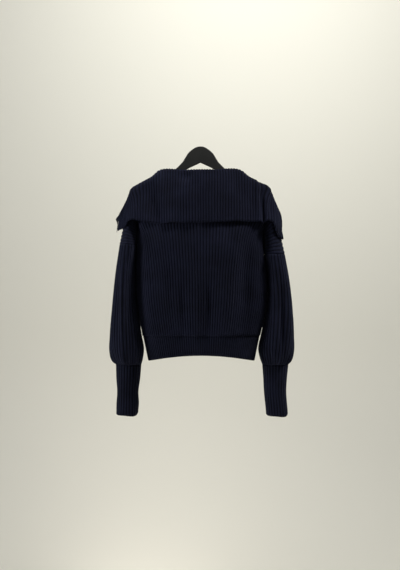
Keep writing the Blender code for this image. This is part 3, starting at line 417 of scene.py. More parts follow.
def backNeckline(x):
    share = min(abs(x) / panels["neckHalf"], 1.0)
    return mix(panels["neckBack"], shoulder(panels["neckHalf"]), share ** panels["necklinePower"][0])


def frontNeckline(x):
    share = max((x - panels["neckOpen"]) / (panels["neckHalf"] - panels["neckOpen"]), 0.0)
    return mix(panels["neckFront"], shoulder(panels["neckHalf"]), share ** panels["necklinePower"][1])


def frontEdge(z):
    low = panels["downShares"][0]
    slider = mix(panels["frontCorner"], panels["hemSeam"], low)
    opened = ramp(z, slider, panels["neckFront"])
    return panels["edgeGap"] + (panels["neckOpen"] - panels["edgeGap"]) * opened


def sectionPoint(side, face, rib, z, start=0.0):
    halfWidth = read(panels["body"], "z", side, z)
    halfDepth = read(panels["body"], "z", face, z)
    turn = np.linspace(0.0, math.pi / 2, 121)
    power = 2 / panels["sectionPower"]
    line = np.stack([halfWidth * np.sin(turn) ** power, halfDepth * np.cos(turn) ** power,
                     np.zeros_like(turn)], axis=1)
    full = lengths(line)[-1]
    pitch = read(panels["pitch"], "z", "pitch", z)
    share = rib / panels["halfRibs"]
    place = pitch * rib + (full - panels["halfRibs"] * pitch) * share ** 3 + start * (1 - share)
    x, y, _ = walk(line, [place])[0]
    return x, y


def mainLine(side, face, rib):
    share = rib / panels["mainRibs"]
    if face == "back":
        xTop = panels["topPitch"] * rib
        top = backNeckline(xTop) if xTop < panels["neckHalf"] else shoulder(xTop)
        corner = shoulder(shoulderEnd) - panels["cornerDrop"]
    else:
        xTop = mix(panels["neckOpen"], shoulderEnd, share)
        top = frontNeckline(xTop) if xTop < panels["neckHalf"] else shoulder(xTop)
        end = shoulder(shoulderEnd) - panels["cornerDrop"]
        corner = mix(panels["frontCorner"], end, smooth(share * 1.6))
    heights = [top, top - panels["firstRow"]]
    heights += [mix(top - panels["firstRow"], corner, part) for part in panels["runShares"]]
    rows = []
    for z in heights:
        x = xTop if face == "back" else mix(frontEdge(z), shoulderEnd, share)
        rows.append((x, spread(shoulder(x) - z), z))
    start = panels["edgeGap"] if face == "front" else 0.0
    for part in panels["downShares"]:
        z = mix(corner, panels["hemSeam"], part)
        x, y = sectionPoint(side, face, rib, z, start)
        rows.append((x, y, z))
    return rows


def wingLine(side, face, rib):
    share = (rib - panels["mainRibs"]) / (panels["halfRibs"] - panels["mainRibs"])
    outward = share ** panels["wingSpread"]
    endX, endZ = panels["armhole"][side]
    middle = (endX + panels["wingInner"]) / 2
    reach = (endX - panels["wingInner"]) / 2
    top = shoulder(shoulderEnd)
    depths = [0.0, panels["firstRow"]]
    depths += [mix(panels["firstRow"], panels["cornerDrop"], part) for part in panels["runShares"]]
    rows = []
    for depth, turn in zip(depths, panels["runTurns"]):
        cosine, sine = math.cos(math.pi * turn), max(math.sin(math.pi * turn), 0.0)
        lowX = middle + reach * math.copysign(abs(cosine) ** panels["wingRound"], cosine)
        lowY = panels["wingDepth"] * sine ** panels["wingRound"]
        rows.append((mix(shoulderEnd, lowX, outward),
                     mix(spread(depth), lowY, share),
                     mix(top - depth, endZ, share)))
    corner = rows[-1][2]
    near = smooth(share * 3)
    rows[-1] = (mix(shoulderEnd, panels["crease"], smooth(share * panels["creaseGrowth"])),
                spread(panels["cornerDrop"]) * (1 - share ** panels["creaseDepth"]), corner)
    for even, close in zip(panels["downShares"], panels["creaseShares"]):
        z = mix(corner, panels["hemSeam"], mix(even, close, near))
        x, y = sectionPoint(side, face, rib, z)
        rows.append((x, y, z))
    return rows


def panelHalf(side, face):
    lines = []
    for rib in np.arange(0, panels["halfRibs"] + cloth["ribStep"] / 2, cloth["ribStep"]):
        make = mainLine if rib <= panels["mainRibs"] else wingLine
        lines.append(make(side, face, rib))
    grid = np.array(lines).transpose(1, 0, 2)
    grid[:, :, 0] *= sides[side]
    grid[:, :, 1] *= -1 if face == "back" else 1
    return grid


def foldRise(grid, folds):
    x, z = grid[:, :, 0], grid[:, :, 2]
    total = np.zeros_like(x)
    for xTop, xBottom, width, rise, top, bottom in zip(*folds.values()):
        down = np.clip((top - z) / (top - bottom), 0.0, 1.0)
        across = np.exp(-((x - mix(xTop, xBottom, down)) / width) ** 2)
        total += rise * across * np.sin(math.pi * down) ** panels["foldPower"]
    return total


def panelShape(side, face):
    grid = panelHalf(side, face)
    soft = slice(1, cornerRow + 2)
    for _ in range(panels["wingPasses"]):
        beside = (grid[soft, wingColumn - 7:-2] + grid[soft, wingColumn - 5:]) / 2
        grid[soft, wingColumn - 6:-1] = mix(grid[soft, wingColumn - 6:-1], beside, 0.5)
    outward = -1.0 if face == "back" else 1.0
    facing = normals(grid, False)
    facing *= np.sign(facing[2, 0, 1]) * outward
    share = np.clip((np.arange(lastColumn + 1) - wingColumn) / (lastColumn - wingColumn), 0, 1)
    near = smooth(share * panels["creaseGrowth"])
    openWay = np.array((0.0, outward, 0.0))
    crease = mix(facing[cornerRow], openWay, near[:, None])
    facing[cornerRow] = crease / np.linalg.norm(crease, axis=1, keepdims=True)
    ribbed = np.ones(grid.shape[:2])
    near = smooth(share * panels["nearGrowth"])
    folds = panels["backFolds"] if face == "back" else panels["frontFolds"]
    height, half, full = panels["blouse"]
    fullness = full * np.exp(-((grid[..., 2] - height) / half) ** 2) * np.abs(facing[..., 1]) ** 3
    base = grid + facing * (foldRise(grid, folds) + fullness)[..., None]
    for row, ribs, inward in zip(*panels["fold"].values()):
        row = int(row)
        ribbed[row] = mix(1.0, ribs, near)
        base[row] -= facing[row] * (inward * near)[:, None]
    return base, facing, ribbed


def keepApart(outward, ends):
    def limit(points):
        points[..., 1] = outward * np.maximum(points[..., 1] * outward, halfSeam)
        for column, side in ends:
            arm = points[:cornerRow + 1, column, 2]
            points[:cornerRow + 1, column, 2] = np.maximum(arm, panels["armhole"][side][1])
        return points
    return limit


hem = {
    "hemMiddle": -0.591,  # lower edge at the middle, and how far the sides hang below it
    "hemDip": 0.017,
    "drawnIn": 0.0012,  # the band lies this much inside the panel that blouses over it
}


def hemLine(side, face, rib):
    rows = []
    start = panels["edgeGap"] if face == "front" else 0.0
    halfWidth = read(panels["body"], "z", side, hem["hemMiddle"])
    x, y = sectionPoint(side, face, rib, panels["hemSeam"] - cloth["seam"], start)
    rows.append((x, y, panels["hemSeam"] - cloth["seam"]))
    x, y = sectionPoint(side, face, rib, hem["hemMiddle"], start)
    low = hem["hemMiddle"] - hem["hemDip"] * (x / halfWidth) ** 2
    x, y = sectionPoint(side, face, rib, low, start)
    rows.append((x, y, low))
    return [(px * sides[side], py * (-1 if face == "back" else 1), pz) for px, py, pz in rows]


sleeves = {
    "sleeveRibs": 42,
    "cuffRibs": 28,
    "sleevePower": 2.3,
    "underarm": -0.35,  # a tube whose top is above this is a sleeve, plain under the arm
    "underarmReach": 0.012,
    "tuckStart": 0.030,  # towards the front the inner side leans out round the body, from this depth
    "tuckReach": 0.025,
    "sleeveLeft": table(
        "z inner outer depth tuck",
        (-0.620, 0.1712, 0.2380, 0.036, 0.0),
        (-0.605, 0.1670, 0.2490, 0.050, 0.0),
        (-0.578, 0.1640, 0.2555, 0.062, 0.0),
        (-0.540, 0.1700, 0.2550, 0.067, 0.007),
        (-0.460, 0.1825, 0.2485, 0.070, 0.012),
        (-0.350, 0.1872, 0.2370, 0.070, 0.012),
        (-0.2813, 0.1815, 0.2266, 0.068, 0.0),
    ),
    "sleeveRight": table(
        "z inner outer depth tuck",
        (-0.620, 0.1785, 0.2475, 0.036, 0.0),
        (-0.605, 0.1730, 0.2560, 0.050, 0.0),
        (-0.578, 0.1675, 0.2625, 0.062, 0.0),
        (-0.540, 0.1745, 0.2630, 0.067, 0.007),
        (-0.460, 0.1910, 0.2585, 0.070, 0.012),
        (-0.375, 0.1932, 0.2485, 0.070, 0.012),
        (-0.3083, 0.1815, 0.2366, 0.068, 0.0),
    ),
    "cuffLeft": table(
        "z inner outer depth tuck",
        (-0.7660, 0.1800, 0.2370, 0.035, 0.0),
        (-0.7300, 0.1780, 0.2365, 0.034, 0.0),
        (-0.7000, 0.1795, 0.2345, 0.033, 0.0),
        (-0.6600, 0.1745, 0.2370, 0.034, 0.0),
        (-0.6203, 0.1712, 0.2380, 0.036, 0.0),
    ),
    "cuffRight": table(
        "z inner outer depth tuck",
        (-0.7680, 0.1895, 0.2460, 0.035, 0.0),
        (-0.7300, 0.1865, 0.2435, 0.034, 0.0),
        (-0.7000, 0.1835, 0.2415, 0.033, 0.0),
        (-0.6600, 0.1815, 0.2435, 0.034, 0.0),
        (-0.6203, 0.1785, 0.2475, 0.036, 0.0),
    ),
}


def tubeGrid(side, data, ribs):  # closed rings of ribs between an inner and an outer line
    turn = np.linspace(0, 2 * math.pi, 361)
    power = 2 / sleeves["sleevePower"]
    places = np.arange(2 * ribs) / (2 * ribs)
    rows = []
    for k in np.argsort(-data["z"]):
        middle = (data["inner"][k] + data["outer"][k]) / 2
        reach = (data["outer"][k] - data["inner"][k]) / 2
        cosine, sine = np.cos(turn), np.sin(turn)
        y = data["depth"][k] * np.sign(sine) * np.abs(sine) ** power
        forward = smooth((y - sleeves["tuckStart"]) / sleeves["tuckReach"])
        tuck = data["tuck"][k] * smooth(-2 * cosine) * forward
        ring = np.stack([middle + reach * np.sign(cosine) * np.abs(cosine) ** power - tuck,
                         y, np.full_like(turn, data["z"][k])], axis=1)
        rows.append(walk(ring, places * lengths(ring)[-1]))
    grid = np.array(rows)
    grid[:, :, 0] *= sides[side]
    facing = normals(grid, True) * (-1 if side == "right" else 1)
    ribbed = np.ones(grid.shape[:2])
    if data["z"].max() > sleeves["underarm"]:
        beyond = data["inner"][-1] + sleeves["underarmReach"] - np.abs(grid[0, :, 0])
        ribbed[0] = 1 - smooth(2 * smooth(beyond / sleeves["underarmReach"]))
    return grid, facing, ribbed


def keepLevel(data):  # holds a tube's first and last row to their heights
    top, bottom = data["z"].max(), data["z"].min()

    def limit(points):
        points[..., 2] = np.clip(points[..., 2], bottom, top)
        return points
    return limit


cape = {
    "collarHalfRibs": 38,
    "collarPitch": 0.00764,
    "collarRows": 9,
    "backShare": 15,  # ribs from the middle of the back to the side neck point
    "shoulderRib": 24.5,  # the rib that falls just over the hanger's end
    "cover": 0.0044,  # from the panels' outer side to the collar's middle surface
    "frontTurn": 0.010,  # how far before its edge the last rib turns down
    "besideNeck": 0.0060,  # the seam runs inside the side neck point, and blends over a length
    "neckBlend": 0.025,
    "overNeck": 0.0025,  # how far above that point
    "seamLift": 0.0012,  # space left at the collar's seam before its wall is smoothed
    "standLean": 0.010,  # how far the roll stands behind the neckline
    "rollStep": 0.011,  # distance between the rows next to the roll
    "sideStep": 0.018,  # the same past the shoulder's end
    "stepShares": (0.4, 0.22, 0.55),  # largest step by stand and fall, and the place of the stand's row
    "coverRamp": 0.020,  # length over which the collar lifts from the seam onto the panel
    "collarPasses": 4,  # times the collar is smoothed and laid on the panels again
    "seamPasses": 7,  # times the facing of the seam's rows is evened out
    "rayLength": 0.4,  # rays that lay the collar on the panels start this far out
    "leastSlant": 0.5,  # a flatter ray counts as this steep
    "coreEnd": 0.165,  # the line inside the shoulders that the collar is laid out from
    "coreDrop": 0.012,
    "edgeEase": 0.005,  # further space behind the collar's free edge
    "edgeBlend": 14,  # the rib from which the free edge bends towards the lobe
    "leanFade": 0.13,  # distance from the centre over which the roll's lean fades
    "standBack": 0.003,  # how far the stand moves forward beside the neck's middle
    "standRibs": (6, 11, 12, 16),  # this sets in from the first to the second, and fades between the last two
    "standFront": 0.006,  # the same past the side neck point, and how far up there
    "fallShare": 0.45,  # the place between roll and edge where a rib swells
    "fallOut": 0.012,  # how far it swells behind the back
    "fallRibs": (8, 34),  # the ribs between which that fades
    "shortFall": 0.03,  # a shorter fall than this stays straight
    "softShares": (0.03, 0.25, 0.15),  # smoothing: shares of the rows, of the columns, and along an edge
    "flare": {"left": 0.0030, "right": 0.0105},  # how far each lobe swells out below the shoulder line
    "flareKept": 35.5,  # the rib from which that fades towards the zip's edge
    # height of the roll over the shoulders
    "roll": table(
        "x left right",
        (0.000, -0.0712, -0.0712),
        (0.040, -0.0712, -0.0702),
        (0.080, -0.0660, -0.0650),
        (0.098, -0.0645, -0.0640),
        (0.112, -0.0665, -0.0670),
        (0.133, -0.0835, -0.0840),
        (0.151, -0.0970, -0.0978),
        (0.172, -0.1084, -0.1084),
        (0.187, -0.1180, -0.1198),
    ),
    # how far the collar stands out at each side, by height
    "flank": table(
        "z left right",
        (-0.236, 0.2365, 0.2350),
        (-0.210, 0.2330, 0.2285),
        (-0.187, 0.2225, 0.2185),
        (-0.164, 0.2120, 0.2088),
        (-0.141, 0.2015, 0.1995),
        (-0.118, 0.1870, 0.1870),
    ),
    # where a rib past the hanger's end crosses the shoulder line
    "crossing": table(
        "share z",
        (0.00, -0.1180),
        (0.25, -0.1250),
        (0.50, -0.1460),
        (0.75, -0.1750),
        (1.00, -0.2010),
    ),
    # free edge behind the back, by distance from the centre
    "edgeBack": table(
        "x z",
        (-0.187, -0.2130),
        (-0.110, -0.2215),
        (0.000, -0.2210),
        (0.110, -0.2178),
        (0.187, -0.2175),
    ),
    # free edge round each shoulder, by rib
    "edgeLeft": table(
        "rib x y z",
        (24.5, 0.1870, -0.060, -0.2130),
        (27.5, 0.2035, -0.056, -0.2150),
        (29.5, 0.2095, -0.048, -0.2340),
        (33.5, 0.2235, -0.030, -0.2375),
        (36.0, 0.2320, -0.014, -0.2385),
        (38.0, 0.2340, 0.001, -0.2400),
    ),
    "edgeRight": table(
        "rib x y z",
        (24.5, 0.1870, -0.060, -0.2175),
        (27.0, 0.2035, -0.060, -0.2175),
        (28.7, 0.2075, -0.054, -0.2450),
        (31.0, 0.2170, -0.044, -0.2620),
        (33.0, 0.2228, -0.030, -0.2665),
        (35.5, 0.2262, -0.006, -0.2560),
        (38.0, 0.2190, 0.021, -0.2440),
    ),
    "collarFolds": table(
        "ribTop ribEdge width rise start end",
        (-21.0, -15.0, 2.2, -0.0070, 0.42, 0.98),
        (-17.0, -10.5, 2.2, 0.0050, 0.40, 0.98),
        (-9.0, 0.0, 2.6, -0.0065, 0.36, 0.70),
        (-26.5, -25.0, 1.8, 0.0040, 0.42, 0.98),
        (10.0, 12.5, 3.5, 0.0040, 0.40, 0.98),
        (20.2, 21.5, 1.0, 0.0050, 0.32, 0.99),
        (21.7, 23.0, 0.70, -0.0060, 0.30, 1.00),
        (23.3, 24.8, 1.0, 0.0085, 0.30, 0.99),
        (29.5, 29.0, 1.6, 0.0040, 0.50, 0.99),
    ),
}


def neckEdge(side, face):
    grid, facing = panelShape(side, face)[:2]
    kept = np.abs(grid[0, :, 0]) <= panels["neckHalf"]
    line, out = grid[0, kept], facing[0, kept]
    line[:, 0] *= sides[side]
    out[:, 0] *= sides[side]
    return line, out


def neckSeam(side):
    back, backOut = neckEdge(side, "back")
    front, frontOut = neckEdge(side, "front")
    beside = np.array((-cape["besideNeck"], 0.0, cape["seamLift"]))
    x, z = panels["neckHalf"], shoulder(panels["neckHalf"])
    lift = cape["seamLift"] + (cloth["wall"] / 2 + cloth["rib"]) * np.maximum(backOut[:, 2:], 0.0)
    near = ramp(back[:, :1], x - cape["neckBlend"], x)
    behind = back + mix(np.array((0.0, 0.0, 1.0)) * lift, beside, near)
    over = np.array([(x, 0.0, z + cape["overNeck"])]) + beside
    near = ramp(front[:, 2:], z - cape["neckBlend"], z)
    lift = cape["seamLift"] + cloth["wall"] + cloth["rib"]
    before = (front + mix(frontOut * lift, beside, near))[::-1]
    return curveThrough(np.vstack([behind[:-3:3], behind[-2:-1], over, before[2::3], before[-1:]]))


def edgePoint(side, rib):
    data = cape["edgeLeft"] if side == "left" else cape["edgeRight"]
    if rib <= cape["shoulderRib"]:
        x = cape["collarPitch"] * rib
        z = float(read(cape["edgeBack"], "x", "z", sides[side] * x))
        hung = -(spread(shoulder(x) - z) + cape["cover"] + cape["edgeEase"])
        blend = ramp(rib, cape["edgeBlend"], cape["shoulderRib"])
        return np.array((x, mix(hung, data["y"][0], blend), z))
    return np.array([float(read(data, "rib", axis, rib)) for axis in "xyz"])


def collarLine(side, rib, neck):
    seam = walk(neck, [lengths(neck)[-1] * rib / cape["collarHalfRibs"]])[0]
    edge = edgePoint(side, rib)
    x = cape["collarPitch"] * rib
    if rib <= cape["shoulderRib"]:
        height = float(read(cape["roll"], "x", side, x))
        lean = spread(shoulder(0.0) - panels["neckBack"]) + cape["standLean"]
        lean *= -(1 - smooth(x / cape["leanFade"]))
        crossing = np.array((x, lean, height))
    else:
        share = (rib - cape["shoulderRib"]) / (cape["collarHalfRibs"] - cape["shoulderRib"])
        height = float(read(cape["crossing"], "share", "z", share))
        before = max(0.0, edge[1] + cape["frontTurn"] * share)
        crossing = np.array((float(read(cape["flank"], "z", side, height)), before, height))
    stand = mix(seam, crossing, 0.5)
    first, whole, fading, last = cape["standRibs"]
    stand[1] += cape["standBack"] * ramp(rib, first, whole) * (1 - ramp(rib, fading, last))
    stand[1] += cape["standFront"] * ramp(rib, cape["backShare"] + 2, cape["backShare"] + 8)
    stand[2] += cape["standFront"] * ramp(rib, cape["backShare"], cape["backShare"] + 8)
    points = [seam, stand, crossing]
    if np.linalg.norm(edge - crossing) > cape["shortFall"]:
        fall = mix(crossing, edge, cape["fallShare"])
        fall[1] -= cape["fallOut"] * (1 - ramp(rib, *cape["fallRibs"]))
        kept = 1 - ramp(rib, cape["flareKept"], cape["collarHalfRibs"])
        fall[0] += cape["flare"][side] * ramp(rib, cape["shoulderRib"], cape["shoulderRib"] + 4) * kept
        points.append(fall)
    points.append(edge)
    return np.array(points)


def clothSurface():
    mesh = bmesh.new()
    for side in sides:
        for face in ("back", "front"):
            base, facing = panelShape(side, face)[:2]
            outer = base + facing * (cloth["wall"] / 2 + cloth["rib"])
            for point in outer[:cornerRow + 2].reshape(-1, 3):
                mesh.verts.new(point)
    hull = bmesh.ops.convex_hull(mesh, input=mesh.verts)
    bmesh.ops.delete(mesh, geom=hull["geom_interior"], context="VERTS")
    surface = BVHTree.FromBMesh(mesh)
    mesh.free()
    return surface


def lieOver(surface, point, cover):
    far = cape["rayLength"]
    coreX = math.copysign(min(abs(point[0]), cape["coreEnd"]), point[0])
    coreZ = min(point[2], shoulder(abs(coreX)) - cape["coreDrop"])
    core = Vector((coreX, 0.0, coreZ))
    way = Vector(point) - core
    if way.length < 1e-6:
        return point
    distance = way.length
    way.normalize()
    hit = surface.ray_cast(core + way * far, -way, far)
    if hit[0] is None:
        return point
    slant = max(abs(hit[1].dot(way)), cape["leastSlant"])
    needed = (hit[0] - core).length + cover / slant
    if distance >= needed:
        return point
    return np.array(core + way * needed)


def collarRows(line, rib):
    along = lengths(line)
    full, roll = along[-1], along[2 * cloth["curveSamples"]]
    wide = mix(cape["rollStep"], cape["sideStep"], ramp(rib, cape["backShare"], cape["backShare"] + 10))
    onStand, onFall, standRow = cape["stepShares"]
    step = min(wide, onStand * roll)
    after = min(wide, onFall * (full - roll))
    fall = np.linspace(roll + after, full, cape["collarRows"] - 4)
    return np.concatenate([[0.0, (roll - step) * standRow, roll - step, roll], fall])


def lay(grid, covers, surface):
    for r in range(cape["collarRows"]):
        for c in range(grid.shape[1]):
            if covers[r, c] > 0.1:
                grid[r, c] = lieOver(surface, grid[r, c], cape["cover"] * covers[r, c])
    for r in range(cape["collarRows"] - 1):
        for c in range(grid.shape[1]):
            cover = min(covers[r, c], covers[r + 1, c])
            if cover > 0.1:
                for part in (0.5, 0.25, 0.75):
                    point = mix(grid[r, c], grid[r + 1, c], part)
                    shift = lieOver(surface, point, cape["cover"] * cover) - point
                    grid[r, c] += shift * (1 - part)
                    grid[r + 1, c] += shift * part


def collarGrid():
    necks = {side: neckSeam(side) for side in sides}
    lines, covers = [], []
    ribs = np.arange(2 * cape["collarHalfRibs"] * 2 + 1) * cloth["ribStep"] - cape["collarHalfRibs"]
    least = (cloth["wall"] / 2 + cape["seamLift"]) / cape["cover"]
    for rib in ribs:
        side = "left" if rib < 0 else "right"
        line = curveThrough(collarLine(side, abs(rib), necks[side]))
        places = collarRows(line, abs(rib))
        row = walk(line, places)
        row[:, 0] *= sides[side]
        lines.append(row)
        onFront = mix(least, 1.0, smooth(places / cape["coverRamp"]))
        onFront[0] *= abs(rib) > cape["backShare"] + 1.2
        behind = (np.arange(cape["collarRows"]) > 3) * 1.0
        covers.append(mix(behind, onFront, smooth((abs(rib) - cape["backShare"]) / 2)))
    grid = np.array(lines).transpose(1, 0, 2)
    covers = np.array(covers).T
    surface = clothSurface()
    for _ in range(cape["collarPasses"]):
        lay(grid, covers, surface)
        soft = grid.copy()
        rows, columns, edges = cape["softShares"]
        soft[1:-1, 1:-1] = (grid[:-2, 1:-1] + grid[2:, 1:-1]) * rows
        soft[1:-1, 1:-1] += (grid[1:-1, :-2] + grid[1:-1, 2:]) * columns
        soft[1:-1, 1:-1] += grid[1:-1, 1:-1] * (1 - 2 * rows - 2 * columns)
        for row in (0, -1):
            soft[row, 1:-1] = (grid[row, :-2] + grid[row, 2:]) * edges
            soft[row, 1:-1] += grid[row, 1:-1] * (1 - 2 * edges)
        grid = soft
    lay(grid, covers, surface)
    return grid


def collarRise(grid):
    ribs = (np.arange(grid.shape[1]) * cloth["ribStep"] - cape["collarHalfRibs"])[None, :]
    down = np.linspace(0.0, 1.0, grid.shape[0])[:, None]
    total = np.zeros(grid.shape[:2])
    for ribTop, ribEdge, width, rise, start, end in zip(*cape["collarFolds"].values()):
        part = np.clip((down - start) / (end - start), 0.0, 1.0)
        across = np.exp(-((ribs - mix(ribTop, ribEdge, part)) / width) ** 2)
        total += rise * across * smooth(part * 3)
    return total


def collarShape():
    grid = collarGrid()
    facing = -normals(grid, False)
    step = unit(grid[1] - grid[0])
    facing[0] = unit(facing[1] - step * (facing[1] * step).sum(axis=1, keepdims=True))
    for _ in range(cape["seamPasses"]):
        facing[:2, 1:-1] = unit(facing[:2, :-2] + 2 * facing[:2, 1:-1] + facing[:2, 2:])
    return grid + facing * collarRise(grid)[..., None], facing


zipTape = {
    "tape": 0.0012,  # thickness of the zip tape
    "tapeEase": 0.0006,  # further space beside the tape, where the cloth bends
    "tapeUnder": 0.0034,  # width of tape lying on the cloth
    "tapeOut": 0.0036,  # width of tape past the cloth's edge
    "rowStep": 0.006,
    "tooth": (0.0026, 0.0015, 0.0022),  # width, height and depth of a zip tooth
    "toothPitch": 0.0030,
    "tapeEnd": 0.005,  # length of tape past the collar's corner
    "toothInset": 0.0004,  # how far a tooth reaches into the tape
    "toothSlim": 0.3,  # share of its height that a tooth loses at its tip
    "toothRound": 0.00025,
    "frontSpan": (0.004, -0.004),  # where the teeth begin and end, from each end of a tape
    "collarSpan": (0.006, -0.008),
    "columns": 4,  # across a tape
}


def tapeLines(side):  # the front's tape lies along the wall's own rows, behind its edge
    base, facing = panelShape(side, "front")[:2]
    hemRows = np.array([hemLine(side, "front", rib) for rib in (0.0, 1.0)]).transpose(1, 0, 2)
    edge = np.vstack([base[:, 0], hemRows[:1, 0], hemRows[-1:, 0]])
    within = np.vstack([base[:, 2], hemRows[:1, 1], hemRows[-1:, 1]])
    out = np.vstack([facing[:, 0], facing[-1:, 0], facing[-1:, 0]])
    edgeward = unit(edge - within)
    edge[0] = mix(edge[0], edge[1], 0.5)
    edge[-1, 2] += 0.002
    behind = edge - out * (cloth["wall"] / 2 + cloth["seam"] + zipTape["tapeEase"] + zipTape["tape"] / 2)
    return behind - edgeward * zipTape["tapeUnder"], behind + edgeward * zipTape["tapeOut"], out


def collarTapeLines(side, base, facing):  # on the collar's short edge, with a tab past its corner
    column, beside = (0, 1) if side == "left" else (-1, -2)
    over = base + facing * (cloth["wall"] / 2 + cloth["rib"] + cloth["seam"] + zipTape["tape"] / 2)
    within, edge, out = over[1:, beside], over[1:, column], facing[1:, column]
    edgeward = unit(edge - within)
    edgeward[1:-1] = unit(edgeward[:-2] + edgeward[1:-1] + edgeward[2:])
    beyond = edge + edgeward * zipTape["tapeOut"]
    tab = unit(base[-1, column] - base[-2, column]) * zipTape["tapeEnd"]
    lines = ((within, within[-1] + tab), (beyond, beyond[-1] + tab), (out, out[-1]))
    return [np.vstack(line) for line in lines]


def tapePiece(name, lines, weave):  # a woven strip between a line on the cloth and one past its edge
    within, beyond, out = lines
    shares = np.linspace(0, 1, zipTape["columns"] + 1)
    grid = np.stack([mix(within, beyond, share) for share in shares], axis=1)
    facing = np.repeat(out[:, None], len(shares), axis=1)
    grid, facing, ribbed = finer(grid, facing, np.zeros(grid.shape[:2]), rowStep=zipTape["rowStep"])
    return shell(name, grid, facing, ribbed, weave, wall=zipTape["tape"], rim=0.0002)


def teethPiece(name, lines, metal, span, offset):  # one row of teeth on a tape's outer edge
    within, beyond, out = lines
    along = lengths(beyond)
    start, end = span
    wide, high, deep = zipTape["tooth"]
    mesh = bmesh.new()
    for place in np.arange(start + offset, along[-1] + end, zipTape["toothPitch"]):
        point = walk(beyond, [place])[0]
        before, after = walk(beyond, [place - 0.002, min(place + 0.002, along[-1])])
        ahead = unit(after - before)
        across = unit(point - walk(within, [np.interp(place, along, lengths(within))])[0])
        face = unit(np.cross(ahead, across)) * np.sign(np.dot(np.cross(ahead, across), out[0]) or 1)
        made = bmesh.ops.create_cube(mesh, size=1.0)["verts"]
        for vert in made:
            x, y, z = vert.co
            slim = 1 - zipTape["toothSlim"] * (x > 0)
            outward = across * (x * wide - zipTape["toothInset"])
            vert.co = Vector(point + outward + ahead * (y * high * slim) + face * (z * deep))
    bmesh.ops.bevel(mesh, geom=mesh.edges[:], offset=zipTape["toothRound"], offset_type="OFFSET",
                    segments=1, profile=0.5, affect="EDGES", material=-1)
    data = bpy.data.meshes.new(name)
    mesh.to_mesh(data)
    mesh.free()
    data.materials.append(metal)
    return show(name, data)


looks = {  # bump is its strength and its depth; the other whole numbers are scales of noise
    # for the knit, the band and the tape, dark and light are the ends of a tone that is partly painted shade
    # in the valleys and painted light on the tops of ribs, stitches and weave, and partly random tone
    "knit": {"dark": (0.0020, 0.0023, 0.0045), "light": (0.0150, 0.0172, 0.0370), "bump": (0.9, 0.0012)},
    "band": {"dark": (0.0020, 0.0022, 0.0042), "light": (0.0140, 0.0160, 0.0340), "bump": (0.8, 0.0012)},
    "tape": {
        "dark": (0.0050, 0.0054, 0.0090),
        "light": (0.0100, 0.0110, 0.0180),
        "ribs": 6,  # woven ribs for each stitch of the knit
        "fuzz": 1500,
        "bump": (0.5, 0.0003),
        "roughness": 0.8,
    },
    "metal": {
        "colour": (0.11, 0.11, 0.115),
        "roughness": (0.28, 0.25),  # the least, and what scratches add
        "scratches": 1800,
        "bump": (0.15, 0.0002),
    },
    "hanger": {
        "dark": (0.024, 0.024, 0.022),
        "light": (0.036, 0.036, 0.033),
        "roughness": (0.42, 0.3),  # the least, and what dust adds
        "dust": 30,
        "grain": 650,
        "bump": (0.12, 0.0003),
    },
}
yarn = {  # what both knits share
    "lean": 1.3,  # slope of a stitch's legs
    "powers": (0.6, 0.5),  # below 1 for rounder stitches and ribs
    "fuzz": 900,
    "patches": 16,
    "height": (0.75, 0.35),  # shares of stitch and fuzz in the bump
    "toneAndShade": (0.45, 0.22, 0.25, 0.7),  # shares of rib, stitch, fuzz and patches in the colour; the rib and stitch shares are painted shade in the valleys and painted light on the tops, fuzz and patches are random tone
    "shader": {"Roughness": 0.92, "Specular IOR Level": 0.08, "Sheen Weight": 0.10,
               "Sheen Roughness": 0.55, "Sheen Tint": (0.42, 0.46, 0.75, 1.0)},
}


def calc(tree, operation, first, second=None):  # one Math node
    made = tree.nodes.new("ShaderNodeMath")
    made.operation = operation
    for socket, value in zip(made.inputs, (first, second)):
        if isinstance(value, (int, float)):
            socket.default_value = value
        elif value is not None:
            tree.links.new(value, socket)
    return made.outputs[0]


def wave(tree, value, often):  # up from 0 to 1 and back, so often in each unit of the value
    return calc(tree, "ABSOLUTE", calc(tree, "SINE", calc(tree, "MULTIPLY", value, math.pi * often)))


def sumOf(tree, values, shares):  # the sum of some values, each taken by its share
    total = calc(tree, "MULTIPLY", values[0], shares[0])
    for value, share in zip(values[1:], shares[1:]):
        total = calc(tree, "ADD", total, calc(tree, "MULTIPLY", value, share))
    return total


def noiseOf(tree, place, scale, detail=2):
    made = tree.nodes.new("ShaderNodeTexNoise")
    made.inputs["Scale"].default_value = scale
    made.inputs["Detail"].default_value = detail
    tree.links.new(place, made.inputs["Vector"])
    return made.outputs["Fac"]


